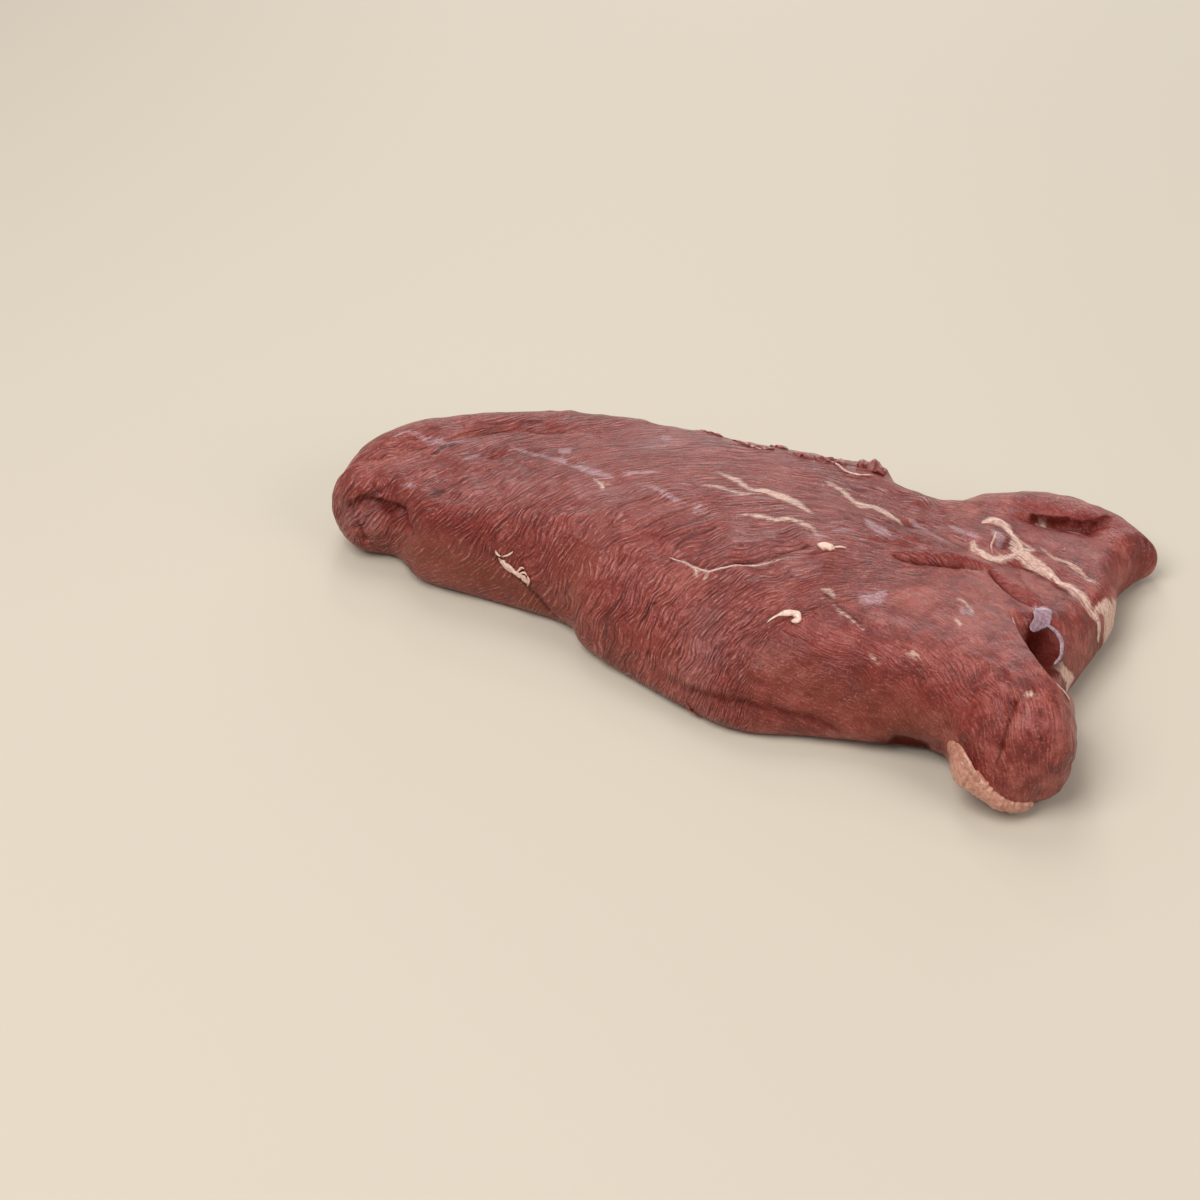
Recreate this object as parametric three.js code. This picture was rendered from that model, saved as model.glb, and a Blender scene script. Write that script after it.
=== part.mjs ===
// Raw beef chuck tender: one long trimmed muscle that ends in a thick thumb lobe
// and a thin flat lobe, lying on the cut face that carries it.
// Millimetres, +Z up, +X along the muscle towards the lobes, origin under its middle.
import * as THREE from 'three';
import { mergeVertices } from 'three/addons/utils/BufferGeometryUtils.js';

// The loft: stations along the muscle, and rows of points across each side of it.
const STATIONS = 98;
const TOP_ROWS = 16;
const SHOULDER_ROWS = 7;
const TUCK_ROWS = 3;
const UNDERSIDE_ROWS = 3;
const SAMPLES_PER_EDGE_SPAN = 24;
const FIELD_SAMPLES_PER_SPAN = 8;
const FIELD_CLEARANCE = 0.02;

// Edge points seen from above: x, y, how far in the top starts to round over,
// height of the widest line, and how far the side tucks in below that line.
const NEAR_EDGE = [
  [-143.5, -6, 14, 16, 10], [-140, -18, 13, 15, 9], [-129.5, -23.5, 11, 13, 8],
  [-116, -21.5, 10, 12, 6], [-101.5, -30.5, 10, 12, 6], [-81.5, -32.5, 10, 13, 6],
  [-42.5, -35.5, 16, 10, 5], [-27.5, -46.5, 24, 8, 5], [13.5, -61.5, 34, 7, 4],
  [36, -66, 34, 7, 4], [58, -62, 30, 8, 6], [96, -59, 18, 14, 13],
  [106, -62, 18, 14, 11], [114, -71, 20, 13, 8], [126, -74.5, 22, 14, 8],
  [136.5, -70.5, 22, 16, 9], [144, -61, 20, 18, 10], [138, -37, 14, 20, 11],
  [133.5, -23, 18, 13, 8], [133.5, -10, 15, 12, 7],
];
const FAR_EDGE = [
  [135.5, 6, 8, 11, 6], [137.5, 22, 8, 10, 6], [134, 37, 9, 9, 5],
  [137.5, 50, 10, 9, 5], [142, 58, 11, 9, 5], [136, 64, 12, 9, 5],
  [125, 72, 12, 9, 5], [108, 75, 12, 9, 5], [90, 70.5, 12, 9, 5],
  [76.5, 62, 13, 10, 6], [68.5, 52, 14, 12, 7], [54, 52.5, 16, 13, 8],
  [38, 60.5, 18, 14, 9], [13, 58, 20, 15, 9], [-47, 54.5, 19, 16, 10],
  [-78, 50.5, 18, 16, 10], [-122.5, 34, 16, 16, 10], [-137.5, 20.5, 15, 16, 10],
  [-144, 6.5, 14, 16, 10],
];

// Height of the meat at places on its top: x, y, height. Between them it blends.
const CROWN = [
  [-137, -2, 33], [-117, -10, 35], [-112, 16, 35], [-82, -17, 36], [-82, 28, 36],
  [-47, -2, 41], [-47, 36, 37], [-2, -27, 38], [-2, 8, 43], [-2, 40, 36],
  [38, -37, 37], [43, -2, 42], [43, 38, 33], [78, -37, 39], [83, -2, 37],
  [73, 40, 27], [108, -42, 41], [113, -12, 34], [133, -52, 43], [103, 23, 25],
  [128, 8, 22], [103, 53, 23], [133, 58, 19], [123, 33, 21],
];
const CROWN_BLEND = 17;

// The line inside the muscle that every station crosses, and the most that the
// shoulder and the tuck take of the distance from that line to the edge.
const SPINE = [[-114, 0], [85, 15]];
const SPINE_SMOOTHING = 0.09;
const SHOULDER_LIMIT = 0.85;
const TUCK_LIMIT = 0.5;

// Folds, as lines on the skin laid flat. On the left of the line, seen along it, the
// skin drops, over the given width, and comes back up with distance, over the reach.
const FOLDS = [
  { name: 'edge of the top layer over the rolled far side', drop: 3, width: 2.5, reach: 9,
    line: [[-142, -14], [-124, -3], [-112, 8], [-100, 17], [-91, 23], [-74, 26], [-52, 30]] },
  { name: 'crest of the thumb lobe above the gap', drop: 7, width: 4, reach: 15,
    line: [[110, -12], [117, -21], [121, -27], [127, -36], [133, -44], [138, -49]] },
  { name: 'torn leaf on the top', drop: 1.2, width: 2.5, reach: 6,
    line: [[-6, -27], [-2, -30], [13, -32], [23, -26]] },
  { name: 'gap beyond the leaf', drop: 2.2, width: 2.5, reach: 5,
    line: [[19, -28], [24, -25], [32, -18], [41, -12]] },
  { name: 'rolled rim of the flat lobe', drop: 3.5, width: 3.5, reach: 9,
    line: [[126, 66], [123, 59], [119, 54], [113, 53], [101, 51], [92, 48]] },
  { name: 'front of the top layer at the folded end', drop: 3, width: 2.5, reach: 8,
    line: [[-96, -40], [-101, -34], [-108, -26], [-119, -23], [-132, -24], [-148, -28]] },
  { name: 'deep red groove before the lobes', drop: 1.5, width: 2.5, reach: 5,
    line: [[66, 5], [77, 2], [84, 2], [91, 7]] },
  { name: 'second red groove', drop: 1.6, width: 2.5, reach: 5,
    line: [[92, 8], [102, 3], [107, 0], [118, 0]] },
  { name: 'lip along the foot of the near side', drop: -1.4, width: 2.5, reach: 8,
    line: [[-2, -68], [15, -72], [45, -73], [58, -74], [68, -78], [76, -80]] },
];

// Creases: the skin sinks on both sides of the line, over the given half width.
const CREASES = [
  { name: 'behind the thumb bulb', depth: 1.7, width: 2.5,
    line: [[123, -58], [127, -68], [127, -75], [128, -82]] },
  { name: 'cream seam between the lobes', depth: 1.5, width: 3.5,
    line: [[90, 17], [99, 16], [105, 21], [111, 20], [126, 13], [134, 7], [138, 5]] },
  { name: 'valley that leads to the seam', depth: 1.6, width: 4,
    line: [[60, 24], [66, 21], [72, 23], [85, 19], [92, 16]] },
  { name: 'hollow under the near side', depth: 2.5, width: 5,
    line: [[84, -84], [94, -84], [104, -88]] },
  { name: 'groove across the lump at the folded end', depth: 1.6, width: 2.5,
    line: [[-131, -31], [-132, -35], [-133, -40]] },
];

// Lumps and hollows as ellipses on the skin laid flat: place, half sizes, turn, height.
const LUMPS = [
  { name: 'hole beside the thumb lobe', at: [129, -22], half: [9, 5], turn: -60, height: -7 },
  { name: 'front of the folded end', at: [-127, -33], half: [15, 6], turn: 12, height: 3 },
  { name: 'pit under the front fold', at: [-109, -27], half: [5, 3], turn: -25, height: -3 },
  { name: 'rolled far side', at: [-88, 40], half: [38, 9], turn: 10, height: 1.5 },
  { name: 'rolled rim', at: [110, 59], half: [15, 5], turn: 0, height: 1.8 },
  { name: 'loose knob on the far edge', at: [44, 55], half: [5, 4], turn: 20, height: 2.5 },
  { name: 'hollow below the near shoulder', at: [74, -64], half: [24, 11], turn: 0, height: -3 },
  { name: 'near shoulder before the thumb lobe', at: [103, -66], half: [9, 7], turn: 0, height: 1.5 },
  { name: 'bulb of the thumb lobe', at: [138, -70], half: [12, 15], turn: 0, height: 1.6 },
  { name: 'gristle beside the cream seam', at: [95, 31], half: [7, 6], turn: 0, height: 1.6 },
  { name: 'hollow in the gristle', at: [96, 28], half: [3.5, 3], turn: 0, height: -1.6 },
  { name: 'fat flap under the thumb lobe', at: [124, -88], half: [15, 5], turn: -25, height: 1.8 },
];

// Share of a fold's length over which it fades in, the height over which all relief
// fades in above the resting face, and the gap within which skin points are one.
const FOLD_FADE = 0.2;
const RELIEF_FOOT = 8;
const MERGE_DISTANCE = 0.01;

const MEAT_COLOUR = 0x7d3f3a;
const MEAT_ROUGHNESS = 0.45;

// A closed smooth curve through the points (Catmull-Rom), in every column at once.
function closedCurve(points, samples) {
  const curve = [];
  points.forEach((p1, i) => {
    const p0 = points.at(i - 1);
    const p2 = points[(i + 1) % points.length];
    const p3 = points[(i + 2) % points.length];
    for (let j = 0; j < samples; j++) {
      const t = j / samples;
      curve.push(p1.map((b, c) => 0.5 * (2 * b + (p2[c] - p0[c]) * t
        + (2 * p0[c] - 5 * b + 4 * p2[c] - p3[c]) * t ** 2
        + (3 * b - p0[c] - 3 * p2[c] + p3[c]) * t ** 3)));
    }
  });
  return curve;
}

// The same curve with evenly spaced points.
function evenly(curve, count) {
  const reach = [0];
  for (let i = 1; i < curve.length; i++) {
    const step = Math.hypot(curve[i][0] - curve[i - 1][0], curve[i][1] - curve[i - 1][1]);
    reach.push(reach[i - 1] + step);
  }
  const even = [];
  let i = 0;
  for (let j = 0; j < count; j++) {
    const goal = reach.at(-1) * j / (count - 1);
    while (i < curve.length - 2 && reach[i + 1] < goal) i++;
    const share = (goal - reach[i]) / (reach[i + 1] - reach[i]);
    even.push(curve[i].map((a, c) => a + (curve[i + 1][c] - a) * share));
  }
  return even;
}

// The near and the far edge, each from the folded end to the notch between the lobes.
function bothEdges() {
  const around = closedCurve([...NEAR_EDGE, ...FAR_EDGE], SAMPLES_PER_EDGE_SPAN);
  const notch = (NEAR_EDGE.length - 1) * SAMPLES_PER_EDGE_SPAN;
  const near = evenly(around.slice(0, notch + 1), STATIONS);
  const far = evenly([...around.slice(notch), around[0]].reverse(), STATIONS);
  return { near, far };
}

// Where each station crosses the spine: level with the middle of its two edge points,
// never going back, and smoothed along the muscle.
function spinePoints(near, far) {
  const [start, end] = SPINE;
  const share = [];
  near.forEach((p, k) => {
    const middle = (p[0] + far[k][0]) / 2;
    const along = THREE.MathUtils.clamp((middle - start[0]) / (end[0] - start[0]), 0, 1);
    share.push(Math.max(along, share[k - 1] ?? 0));
  });
  const half = Math.round(STATIONS * SPINE_SMOOTHING / 2);
  return share.map((_, k) => {
    let sum = 0;
    let weights = 0;
    for (let j = -half; j <= half; j++) {
      const weight = 1 + Math.cos(Math.PI * j / (half + 1));
      sum += weight * share[THREE.MathUtils.clamp(k + j, 0, STATIONS - 1)];
      weights += weight;
    }
    return start.map((a, c) => a + (end[c] - a) * sum / weights);
  });
}

// Height of the top away from the edges: each crown place counts less with distance.
function crownHeight(x, y) {
  let sum = 0;
  let weights = 0;
  for (const [cx, cy, height] of CROWN) {
    const weight = Math.exp(-((x - cx) ** 2 + (y - cy) ** 2) / (2 * CROWN_BLEND ** 2));
    sum += weight * height;
    weights += weight;
  }
  return sum / weights;
}

// One bit of the edge seen from a place: its share in the edge field there, which is the
// sum over the bit of one over the distance to the fourth power.
function edgeShare(start, end, x, y) {
  const [dx, dy] = [end[0] - start[0], end[1] - start[1]];
  const length = Math.hypot(dx, dy);
  const along = ((x - start[0]) * dx + (y - start[1]) * dy) / length;
  const off = Math.abs((x - start[0]) * dy - (y - start[1]) * dx) / length + FIELD_CLEARANCE;
  const upTo = (reach) => reach / (2 * off ** 2 * (off ** 2 + reach ** 2))
    + Math.atan(reach / off) / (2 * off ** 3);
  return upTo(length - along) - upTo(-along);
}

// Smooth distance in from the whole edge, and the edge's shoulder, rim and tuck there.
// The nearest part of the edge rules, and no ridge forms midway between two edges.
const WHOLE_EDGE = closedCurve([...NEAR_EDGE, ...FAR_EDGE], FIELD_SAMPLES_PER_SPAN);
function edgeField(x, y) {
  let total = 0;
  const sums = [0, 0, 0];
  WHOLE_EDGE.forEach((start, i) => {
    const end = WHOLE_EDGE[(i + 1) % WHOLE_EDGE.length];
    const share = edgeShare(start, end, x, y);
    total += share;
    sums.forEach((_, c) => { sums[c] += share * (start[c + 2] + end[c + 2]) / 2; });
  });
  const [shoulder, rim, tuck] = sums.map((sum) => sum / total);
  return { distance: (total / (Math.PI / 2)) ** (-1 / 3), shoulder, rim, tuck };
}

// Distances in from the edge: across the top, round the shoulder, round the tuck
// and back along the underside, with rows closer together near the edge there.
function rowsOfSide(reach, shoulder, tuck) {
  const rows = [];
  for (let j = 0; j < TOP_ROWS; j++) {
    rows.push({ inset: reach + (shoulder - reach) * j / TOP_ROWS, top: true });
  }
  for (let j = 0; j < SHOULDER_ROWS; j++) {
    rows.push({ inset: shoulder * (1 - Math.sin(Math.PI / 2 * j / SHOULDER_ROWS)), top: true });
  }
  for (let j = 0; j <= TUCK_ROWS; j++) {
    rows.push({ inset: tuck * (1 - Math.cos(Math.PI / 2 * j / TUCK_ROWS)), top: false });
  }
  for (let j = 1; j <= UNDERSIDE_ROWS; j++) {
    rows.push({ inset: tuck + (reach - tuck) * (j / UNDERSIDE_ROWS) ** 2, top: false });
  }
  return rows;
}

// Height of the skin at a place: a quarter ellipse over the shoulder up to the crown,
// or below the widest line a quarter ellipse down to the resting face.
function skinHeight(x, y, top) {
  const { distance, shoulder, rim, tuck } = edgeField(x, y);
  const slope = THREE.MathUtils.clamp(1 - distance / (top ? shoulder : tuck), 0, 1);
  const round = Math.sqrt(1 - slope ** 2);
  return top ? rim + (crownHeight(x, y) - rim) * round : rim * (1 - round);
}

// One side of a station, from the spine over the top to the edge and back below.
// Each point also keeps where it lies on the skin laid flat, for the folds and lumps.
function sideOfStation(spine, edge) {
  const [x, y, shoulderWidth, , tuckWidth] = edge;
  const reach = Math.hypot(x - spine[0], y - spine[1]);
  const out = [(x - spine[0]) / reach, (y - spine[1]) / reach];
  const shoulder = Math.min(shoulderWidth, SHOULDER_LIMIT * reach);
  const tuck = Math.min(tuckWidth, TUCK_LIMIT * reach);
  let unrolled = 0;
  let last = null;
  return rowsOfSide(reach, shoulder, tuck).map(({ inset, top }) => {
    const px = x - out[0] * inset;
    const py = y - out[1] * inset;
    const point = new THREE.Vector3(px, py, skinHeight(px, py, top));
    if (last) unrolled += point.distanceTo(last);
    last = point;
    const onUnderside = !top && inset > tuck;
    const flat = onUnderside ? [px, py] : [spine[0] + out[0] * unrolled, spine[1] + out[1] * unrolled];
    return { point, flat };
  });
}

// Every station as a closed ring: up the near side, over the spine, down the far side.
function stationRings() {
  const { near, far } = bothEdges();
  const spine = spinePoints(near, far);
  return near.map((edge, k) => {
    const nearSide = sideOfStation(spine[k], edge).reverse();
    const farSide = sideOfStation(spine[k], far[k]).slice(1, -1);
    return [...nearSide, ...farSide];
  });
}

// Distance from a flat place to a line of points, more than zero on its left,
// and how far along the line its nearest point is.
function besideLine(line, [u, v]) {
  let distance = Infinity;
  let along = 0;
  for (let i = 0; i < line.length - 1; i++) {
    const [du, dv] = [line[i + 1][0] - line[i][0], line[i + 1][1] - line[i][1]];
    const [eu, ev] = [u - line[i][0], v - line[i][1]];
    const t = THREE.MathUtils.clamp((eu * du + ev * dv) / (du ** 2 + dv ** 2), 0, 1);
    const gap = Math.hypot(eu - du * t, ev - dv * t);
    if (gap < Math.abs(distance)) {
      distance = du * ev - dv * eu < 0 ? -gap : gap;
      along = (i + t) / (line.length - 1);
    }
  }
  const fade = THREE.MathUtils.smoothstep(Math.min(along, 1 - along), 0, FOLD_FADE);
  return { distance, fade };
}

// How far the skin stands out at a flat place: folds and creases fade out at both
// ends of their line, and lumps are round humps.
function relief(flat) {
  let height = 0;
  for (const { drop, width, reach, line } of FOLDS) {
    const { distance, fade } = besideLine(line, flat);
    const step = THREE.MathUtils.smoothstep(distance, -width, width);
    height -= drop * fade * step * Math.exp(-Math.max(distance, 0) / reach);
  }
  for (const { depth, width, line } of CREASES) {
    const { distance, fade } = besideLine(line, flat);
    height -= depth * fade * Math.exp(-((distance / width) ** 2));
  }
  for (const { at, half, turn, height: rise } of LUMPS) {
    const angle = THREE.MathUtils.degToRad(turn);
    const [du, dv] = [flat[0] - at[0], flat[1] - at[1]];
    const a = (du * Math.cos(angle) + dv * Math.sin(angle)) / half[0];
    const b = (dv * Math.cos(angle) - du * Math.sin(angle)) / half[1];
    height += rise * Math.exp(-(a ** 2 + b ** 2));
  }
  return height;
}

// A closed skin of triangles over the rings; the two ends close on themselves.
function skinGeometry(rings) {
  const rowCount = rings[0].length;
  const index = [];
  for (let k = 0; k < STATIONS - 1; k++) {
    for (let r = 0; r < rowCount; r++) {
      const a = k * rowCount + r;
      const b = k * rowCount + (r + 1) % rowCount;
      index.push(a, a + rowCount, b + rowCount, a, b + rowCount, b);
    }
  }
  const places = rings.flat();
  const geometry = new THREE.BufferGeometry().setFromPoints(places.map(({ point }) => point));
  const flats = places.flatMap(({ flat }) => flat);
  geometry.setAttribute('uv', new THREE.Float32BufferAttribute(flats, 2));
  geometry.setIndex(index);
  const merged = mergeVertices(geometry, MERGE_DISTANCE);
  merged.setIndex(withoutEmptyTriangles(merged.getIndex().array));
  merged.computeVertexNormals();
  return merged;
}

// The list of triangles without those that merging has reduced to a line or a point.
function withoutEmptyTriangles(index) {
  const kept = [];
  for (let i = 0; i < index.length; i += 3) {
    const [a, b, c] = index.slice(i, i + 3);
    if (a !== b && b !== c && c !== a) kept.push(a, b, c);
  }
  return kept;
}

// The skin moved out or in along its normals by the relief, which fades out
// towards the flat face that the meat rests on.
function withRelief(geometry) {
  const { position, normal, uv } = geometry.attributes;
  const point = new THREE.Vector3();
  const outwards = new THREE.Vector3();
  for (let i = 0; i < position.count; i++) {
    point.fromBufferAttribute(position, i);
    outwards.fromBufferAttribute(normal, i);
    const foot = THREE.MathUtils.smoothstep(point.z, 0, RELIEF_FOOT);
    point.addScaledVector(outwards, relief([uv.getX(i), uv.getY(i)]) * foot);
    position.setXYZ(i, point.x, point.y, point.z);
  }
  geometry.deleteAttribute('uv');
  geometry.computeVertexNormals();
  return geometry;
}

// The origin goes under the middle of the meat, on the face that it rests on.
function centred(geometry) {
  geometry.computeBoundingBox();
  const middle = geometry.boundingBox.getCenter(new THREE.Vector3());
  return geometry.translate(-middle.x, -middle.y, -geometry.boundingBox.min.z);
}

const meat = new THREE.Mesh(
  centred(withRelief(skinGeometry(stationRings()))),
  new THREE.MeshStandardMaterial({ color: MEAT_COLOUR, roughness: MEAT_ROUGHNESS, metalness: 0 }),
);
meat.name = 'chuck_tender';

const group = new THREE.Group();
group.add(meat);
export default group;
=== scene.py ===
import math

import bpy
import numpy as np
from mathutils import Matrix, Vector


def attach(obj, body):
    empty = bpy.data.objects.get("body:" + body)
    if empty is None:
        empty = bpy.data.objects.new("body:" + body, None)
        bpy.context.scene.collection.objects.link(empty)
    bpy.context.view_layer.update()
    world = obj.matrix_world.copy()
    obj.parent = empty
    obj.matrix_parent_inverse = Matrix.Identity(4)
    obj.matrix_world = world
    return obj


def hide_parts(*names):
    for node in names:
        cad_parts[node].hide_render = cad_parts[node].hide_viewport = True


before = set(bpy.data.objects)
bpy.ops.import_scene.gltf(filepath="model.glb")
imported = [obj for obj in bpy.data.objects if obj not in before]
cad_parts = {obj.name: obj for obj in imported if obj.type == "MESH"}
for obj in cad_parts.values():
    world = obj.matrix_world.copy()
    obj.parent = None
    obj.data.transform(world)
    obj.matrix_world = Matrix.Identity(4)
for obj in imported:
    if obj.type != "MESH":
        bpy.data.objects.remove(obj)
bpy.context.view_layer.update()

# The muscle: one long beef muscle from beside the shoulder blade, trimmed raw by knife.
# It tapers to a folded end at -X and widens to a thick thumb lobe and a thin flat lobe
# at +X, and it lies on its flat side. Lengths are millimetres until the mesh is made.
STATIONS = 540
ROWS = 90
PROFILE_SAMPLES = 160
UNDERSIDE_SHARE = 0.15
SHOULDER_MOST, TUCK_MOST = 0.85, 0.5
MERGE_DIGITS = 3

# Edge points seen from above: x, y, how far in the top starts to round over,
# height of the widest line, and how far the side tucks in below that line.
NEAR_EDGE = np.array([
    [-143.5, -6, 14, 16, 10], [-140, -18, 13, 15, 9], [-129.5, -23.5, 11, 13, 8],
    [-116, -21.5, 10, 12, 6], [-101.5, -30.5, 10, 12, 6], [-81.5, -32.5, 10, 13, 6],
    [-42.5, -35.5, 16, 10, 5], [-27.5, -46.5, 24, 8, 5], [13.5, -61.5, 34, 7, 4],
    [36, -66, 34, 7, 4], [58, -62, 30, 8, 6], [96, -59, 18, 14, 13],
    [106, -62, 18, 14, 11], [114, -71, 20, 13, 8], [126, -74.5, 22, 14, 8],
    [136.5, -70.5, 22, 16, 9], [144, -61, 20, 18, 10], [138, -37, 14, 20, 11],
    [133.5, -23, 18, 13, 8], [133.5, -10, 15, 12, 7]], float)
FAR_EDGE = np.array([
    [135.5, 6, 8, 11, 6], [137.5, 22, 8, 10, 6], [134, 37, 9, 9, 5],
    [137.5, 50, 10, 9, 5], [142, 58, 11, 9, 5], [136, 64, 12, 9, 5],
    [125, 72, 12, 9, 5], [108, 75, 12, 9, 5], [90, 70.5, 12, 9, 5],
    [76.5, 62, 13, 10, 6], [68.5, 52, 14, 12, 7], [54, 52.5, 16, 13, 8],
    [38, 60.5, 18, 14, 9], [13, 58, 20, 15, 9], [-47, 54.5, 19, 16, 10],
    [-78, 50.5, 18, 16, 10], [-122.5, 34, 16, 16, 10], [-137.5, 20.5, 15, 16, 10],
    [-144, 6.5, 14, 16, 10]], float)

# Height of the meat at places on its top: x, y, height. Between them it blends.
CROWN = np.array([
    [-137, -2, 33], [-117, -10, 35], [-112, 16, 35], [-82, -17, 36], [-82, 28, 36],
    [-47, -2, 41], [-47, 36, 37], [-2, -27, 38], [-2, 8, 43], [-2, 40, 36],
    [38, -37, 37], [43, -2, 42], [43, 38, 33], [78, -37, 39], [83, -2, 37],
    [73, 40, 27], [108, -42, 41], [113, -12, 34], [133, -52, 43], [103, 23, 25],
    [128, 8, 22], [103, 53, 23], [133, 58, 19], [123, 33, 21]], float)
CROWN_BLEND = 17

# The line inside the muscle that every station crosses.
SPINE = np.array([[-114, 0], [85, 15]], float)
SPINE_SMOOTHING = 0.09
EDGE_SAMPLES = 8
NEAREST_EDGE = 0.02


def closed_curve(points, samples):
    """Closed Catmull-Rom curve through the points, in every column at once."""
    before, here = np.roll(points, 1, 0)[:, None], points[:, None]
    after, beyond = np.roll(points, -1, 0)[:, None], np.roll(points, -2, 0)[:, None]
    t = (np.arange(samples) / samples)[None, :, None]
    curve = 0.5 * (2 * here + (after - before) * t
                   + (2 * before - 5 * here + 4 * after - beyond) * t ** 2
                   + (3 * here - before - 3 * after + beyond) * t ** 3)
    return curve.reshape(-1, points.shape[1])


def evenly(curve, count):
    """The same curve with points at even distances along its plan."""
    steps = np.hypot(*np.diff(curve[:, :2], axis=0).T)
    reach = np.concatenate([[0], np.cumsum(steps)])
    goals = np.linspace(0, reach[-1], count)
    return np.stack([np.interp(goals, reach, column) for column in curve.T], 1)


def both_edges():
    """Near and far edge, each from the folded end to the notch between the lobes."""
    samples = 5 * EDGE_SAMPLES
    around = closed_curve(np.concatenate([NEAR_EDGE, FAR_EDGE]), samples)
    notch = (len(NEAR_EDGE) - 1) * samples
    far = np.concatenate([around[notch:], around[:1]])[::-1]
    return evenly(around[:notch + 1], STATIONS), evenly(far, STATIONS)


def spine_points(near, far):
    """Where each station crosses the spine: level with the middle of its two edge
    points, never going back, smoothed by a cosine window."""
    start, end = SPINE
    middle = (near[:, 0] + far[:, 0]) / 2
    share = np.clip((middle - start[0]) / (end[0] - start[0]), 0, 1)
    share = np.maximum.accumulate(share)
    half = round(STATIONS * SPINE_SMOOTHING / 2)
    window = 1 + np.cos(np.pi * np.arange(-half, half + 1) / (half + 1))
    share = np.convolve(np.pad(share, half, mode="edge"), window / window.sum(), "valid")
    return start + (end - start) * share[:, None]


def crown_height(x, y):
    """Mean of the crown heights, each weighted by a bell curve of its distance."""
    total, weights = 0, 0
    for place_x, place_y, height in CROWN:
        weight = np.exp(-((x - place_x) ** 2 + (y - place_y) ** 2) / (2 * CROWN_BLEND ** 2))
        total, weights = total + weight * height, weights + weight
    return total / weights


def edge_field(x, y):
    """Smooth distance in from the edge, and the edge's shoulder, rim and tuck there.
    Every bit of the edge counts by one over its distance to the fourth power, so the
    nearest part rules and no ridge forms midway between two edges."""
    around = closed_curve(np.concatenate([NEAR_EDGE, FAR_EDGE]), EDGE_SAMPLES)
    weights = np.zeros(x.shape)
    sums = np.zeros((3,) + x.shape)
    for start, end in zip(around, np.roll(around, -1, 0)):
        step = end[:2] - start[:2]
        length = np.hypot(*step)
        along = ((x - start[0]) * step[0] + (y - start[1]) * step[1]) / length
        off = np.abs((x - start[0]) * step[1] - (y - start[1]) * step[0]) / length + NEAREST_EDGE
        reach = [end_reach / (2 * off ** 2 * (off ** 2 + end_reach ** 2))
                 + np.arctan(end_reach / off) / (2 * off ** 3)
                 for end_reach in (length - along, -along)]
        weight = reach[0] - reach[1]
        weights += weight
        sums += weight * ((start + end) / 2)[2:, None, None]
    return (weights / (np.pi / 2)) ** (-1 / 3), sums / weights


def side_of_stations(spine, edge):
    """One side of every station: from the spine over the top, a quarter ellipse round
    the shoulder to the widest line, another below it, and back along the underside.
    Gives the points and where they lie on the skin laid flat, at even skin lengths."""
    out = edge[:, :2] - spine
    reach = np.hypot(*out.T)[:, None]
    out = out / reach
    shoulder = np.minimum(edge[:, 2:3], SHOULDER_MOST * reach)
    tuck = np.minimum(edge[:, 4:5], TUCK_MOST * reach)
    a = np.linspace(0, 1, PROFILE_SAMPLES // 4, endpoint=False)[None]
    turn = a * np.pi / 2
    inset = np.concatenate([reach + (shoulder - reach) * a, shoulder * (1 - np.sin(turn)),
                            tuck * (1 - np.cos(turn)), tuck + (reach - tuck) * a, reach], 1)
    section = np.append(np.repeat([0, 1, 2, 3], PROFILE_SAMPLES // 4), 3)
    top, under = section < 2, section == 3
    x = edge[:, :1] - out[:, :1] * inset
    y = edge[:, 1:2] - out[:, 1:] * inset
    distance, (shoulder, rim, tuck) = edge_field(x, y)
    slope = np.clip(1 - distance / np.where(top, shoulder, tuck), 0, 1)
    rounding = np.sqrt(1 - slope ** 2)
    height = np.where(top, rim + (crown_height(x, y) - rim) * rounding, rim * (1 - rounding))
    points = np.stack([x, y, height], 2)
    steps = np.linalg.norm(np.diff(points, axis=1), axis=2)
    start = np.zeros((len(edge), 1))
    unrolled = np.concatenate([start, np.cumsum(steps, 1)], 1)
    flat = np.where(under[None, :, None], points[:, :, :2],
                    spine[:, None] + out[:, None] * unrolled[:, :, None])
    counted = np.cumsum(steps * np.where(under[1:], UNDERSIDE_SHARE, 1), 1)
    counted = np.concatenate([start, counted], 1)
    rows = np.linspace(0, 1, ROWS)[None, None] * counted[:, -1:, None]
    index = np.clip((counted[:, :, None] <= rows).sum(1) - 1, 0, counted.shape[1] - 2)
    low, high = (np.take_along_axis(counted, index + step, 1) for step in (0, 1))
    share = ((rows[:, 0] - low) / np.maximum(high - low, 1e-9))[:, :, None]
    both = np.concatenate([points, flat], 2)
    low, high = (np.take_along_axis(both, index[:, :, None] + step, 1) for step in (0, 1))
    return low + (high - low) * share


def closed_skin():
    """Rings of both sides joined into triangles, with meeting points made one.
    Gives the vertices, their places on the skin laid flat, and the triangles."""
    near, far = both_edges()
    spine = spine_points(near, far)
    near_side, far_side = (side_of_stations(spine, edge) for edge in (near, far))
    rings = np.concatenate([near_side[:, ::-1], far_side[:, 1:-1]], 1)
    rows = rings.shape[1]
    first = (np.arange(STATIONS - 1)[:, None] * rows + np.arange(rows)[None]).ravel()
    beside = (np.arange(STATIONS - 1)[:, None] * rows + np.roll(np.arange(rows), -1)[None]).ravel()
    faces = np.concatenate([np.stack([first, first + rows, beside + rows], 1),
                            np.stack([first, beside + rows, beside], 1)])
    flat_rings = rings.reshape(-1, 5)
    _, kept, place = np.unique(np.round(flat_rings[:, :3], MERGE_DIGITS), axis=0,
                               return_index=True, return_inverse=True)
    faces = place.ravel()[faces]
    whole = (faces[:, 0] != faces[:, 1]) & (faces[:, 1] != faces[:, 2]) & (faces[:, 2] != faces[:, 0])
    return flat_rings[kept, :3], flat_rings[kept, 3:], faces[whole]


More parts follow.
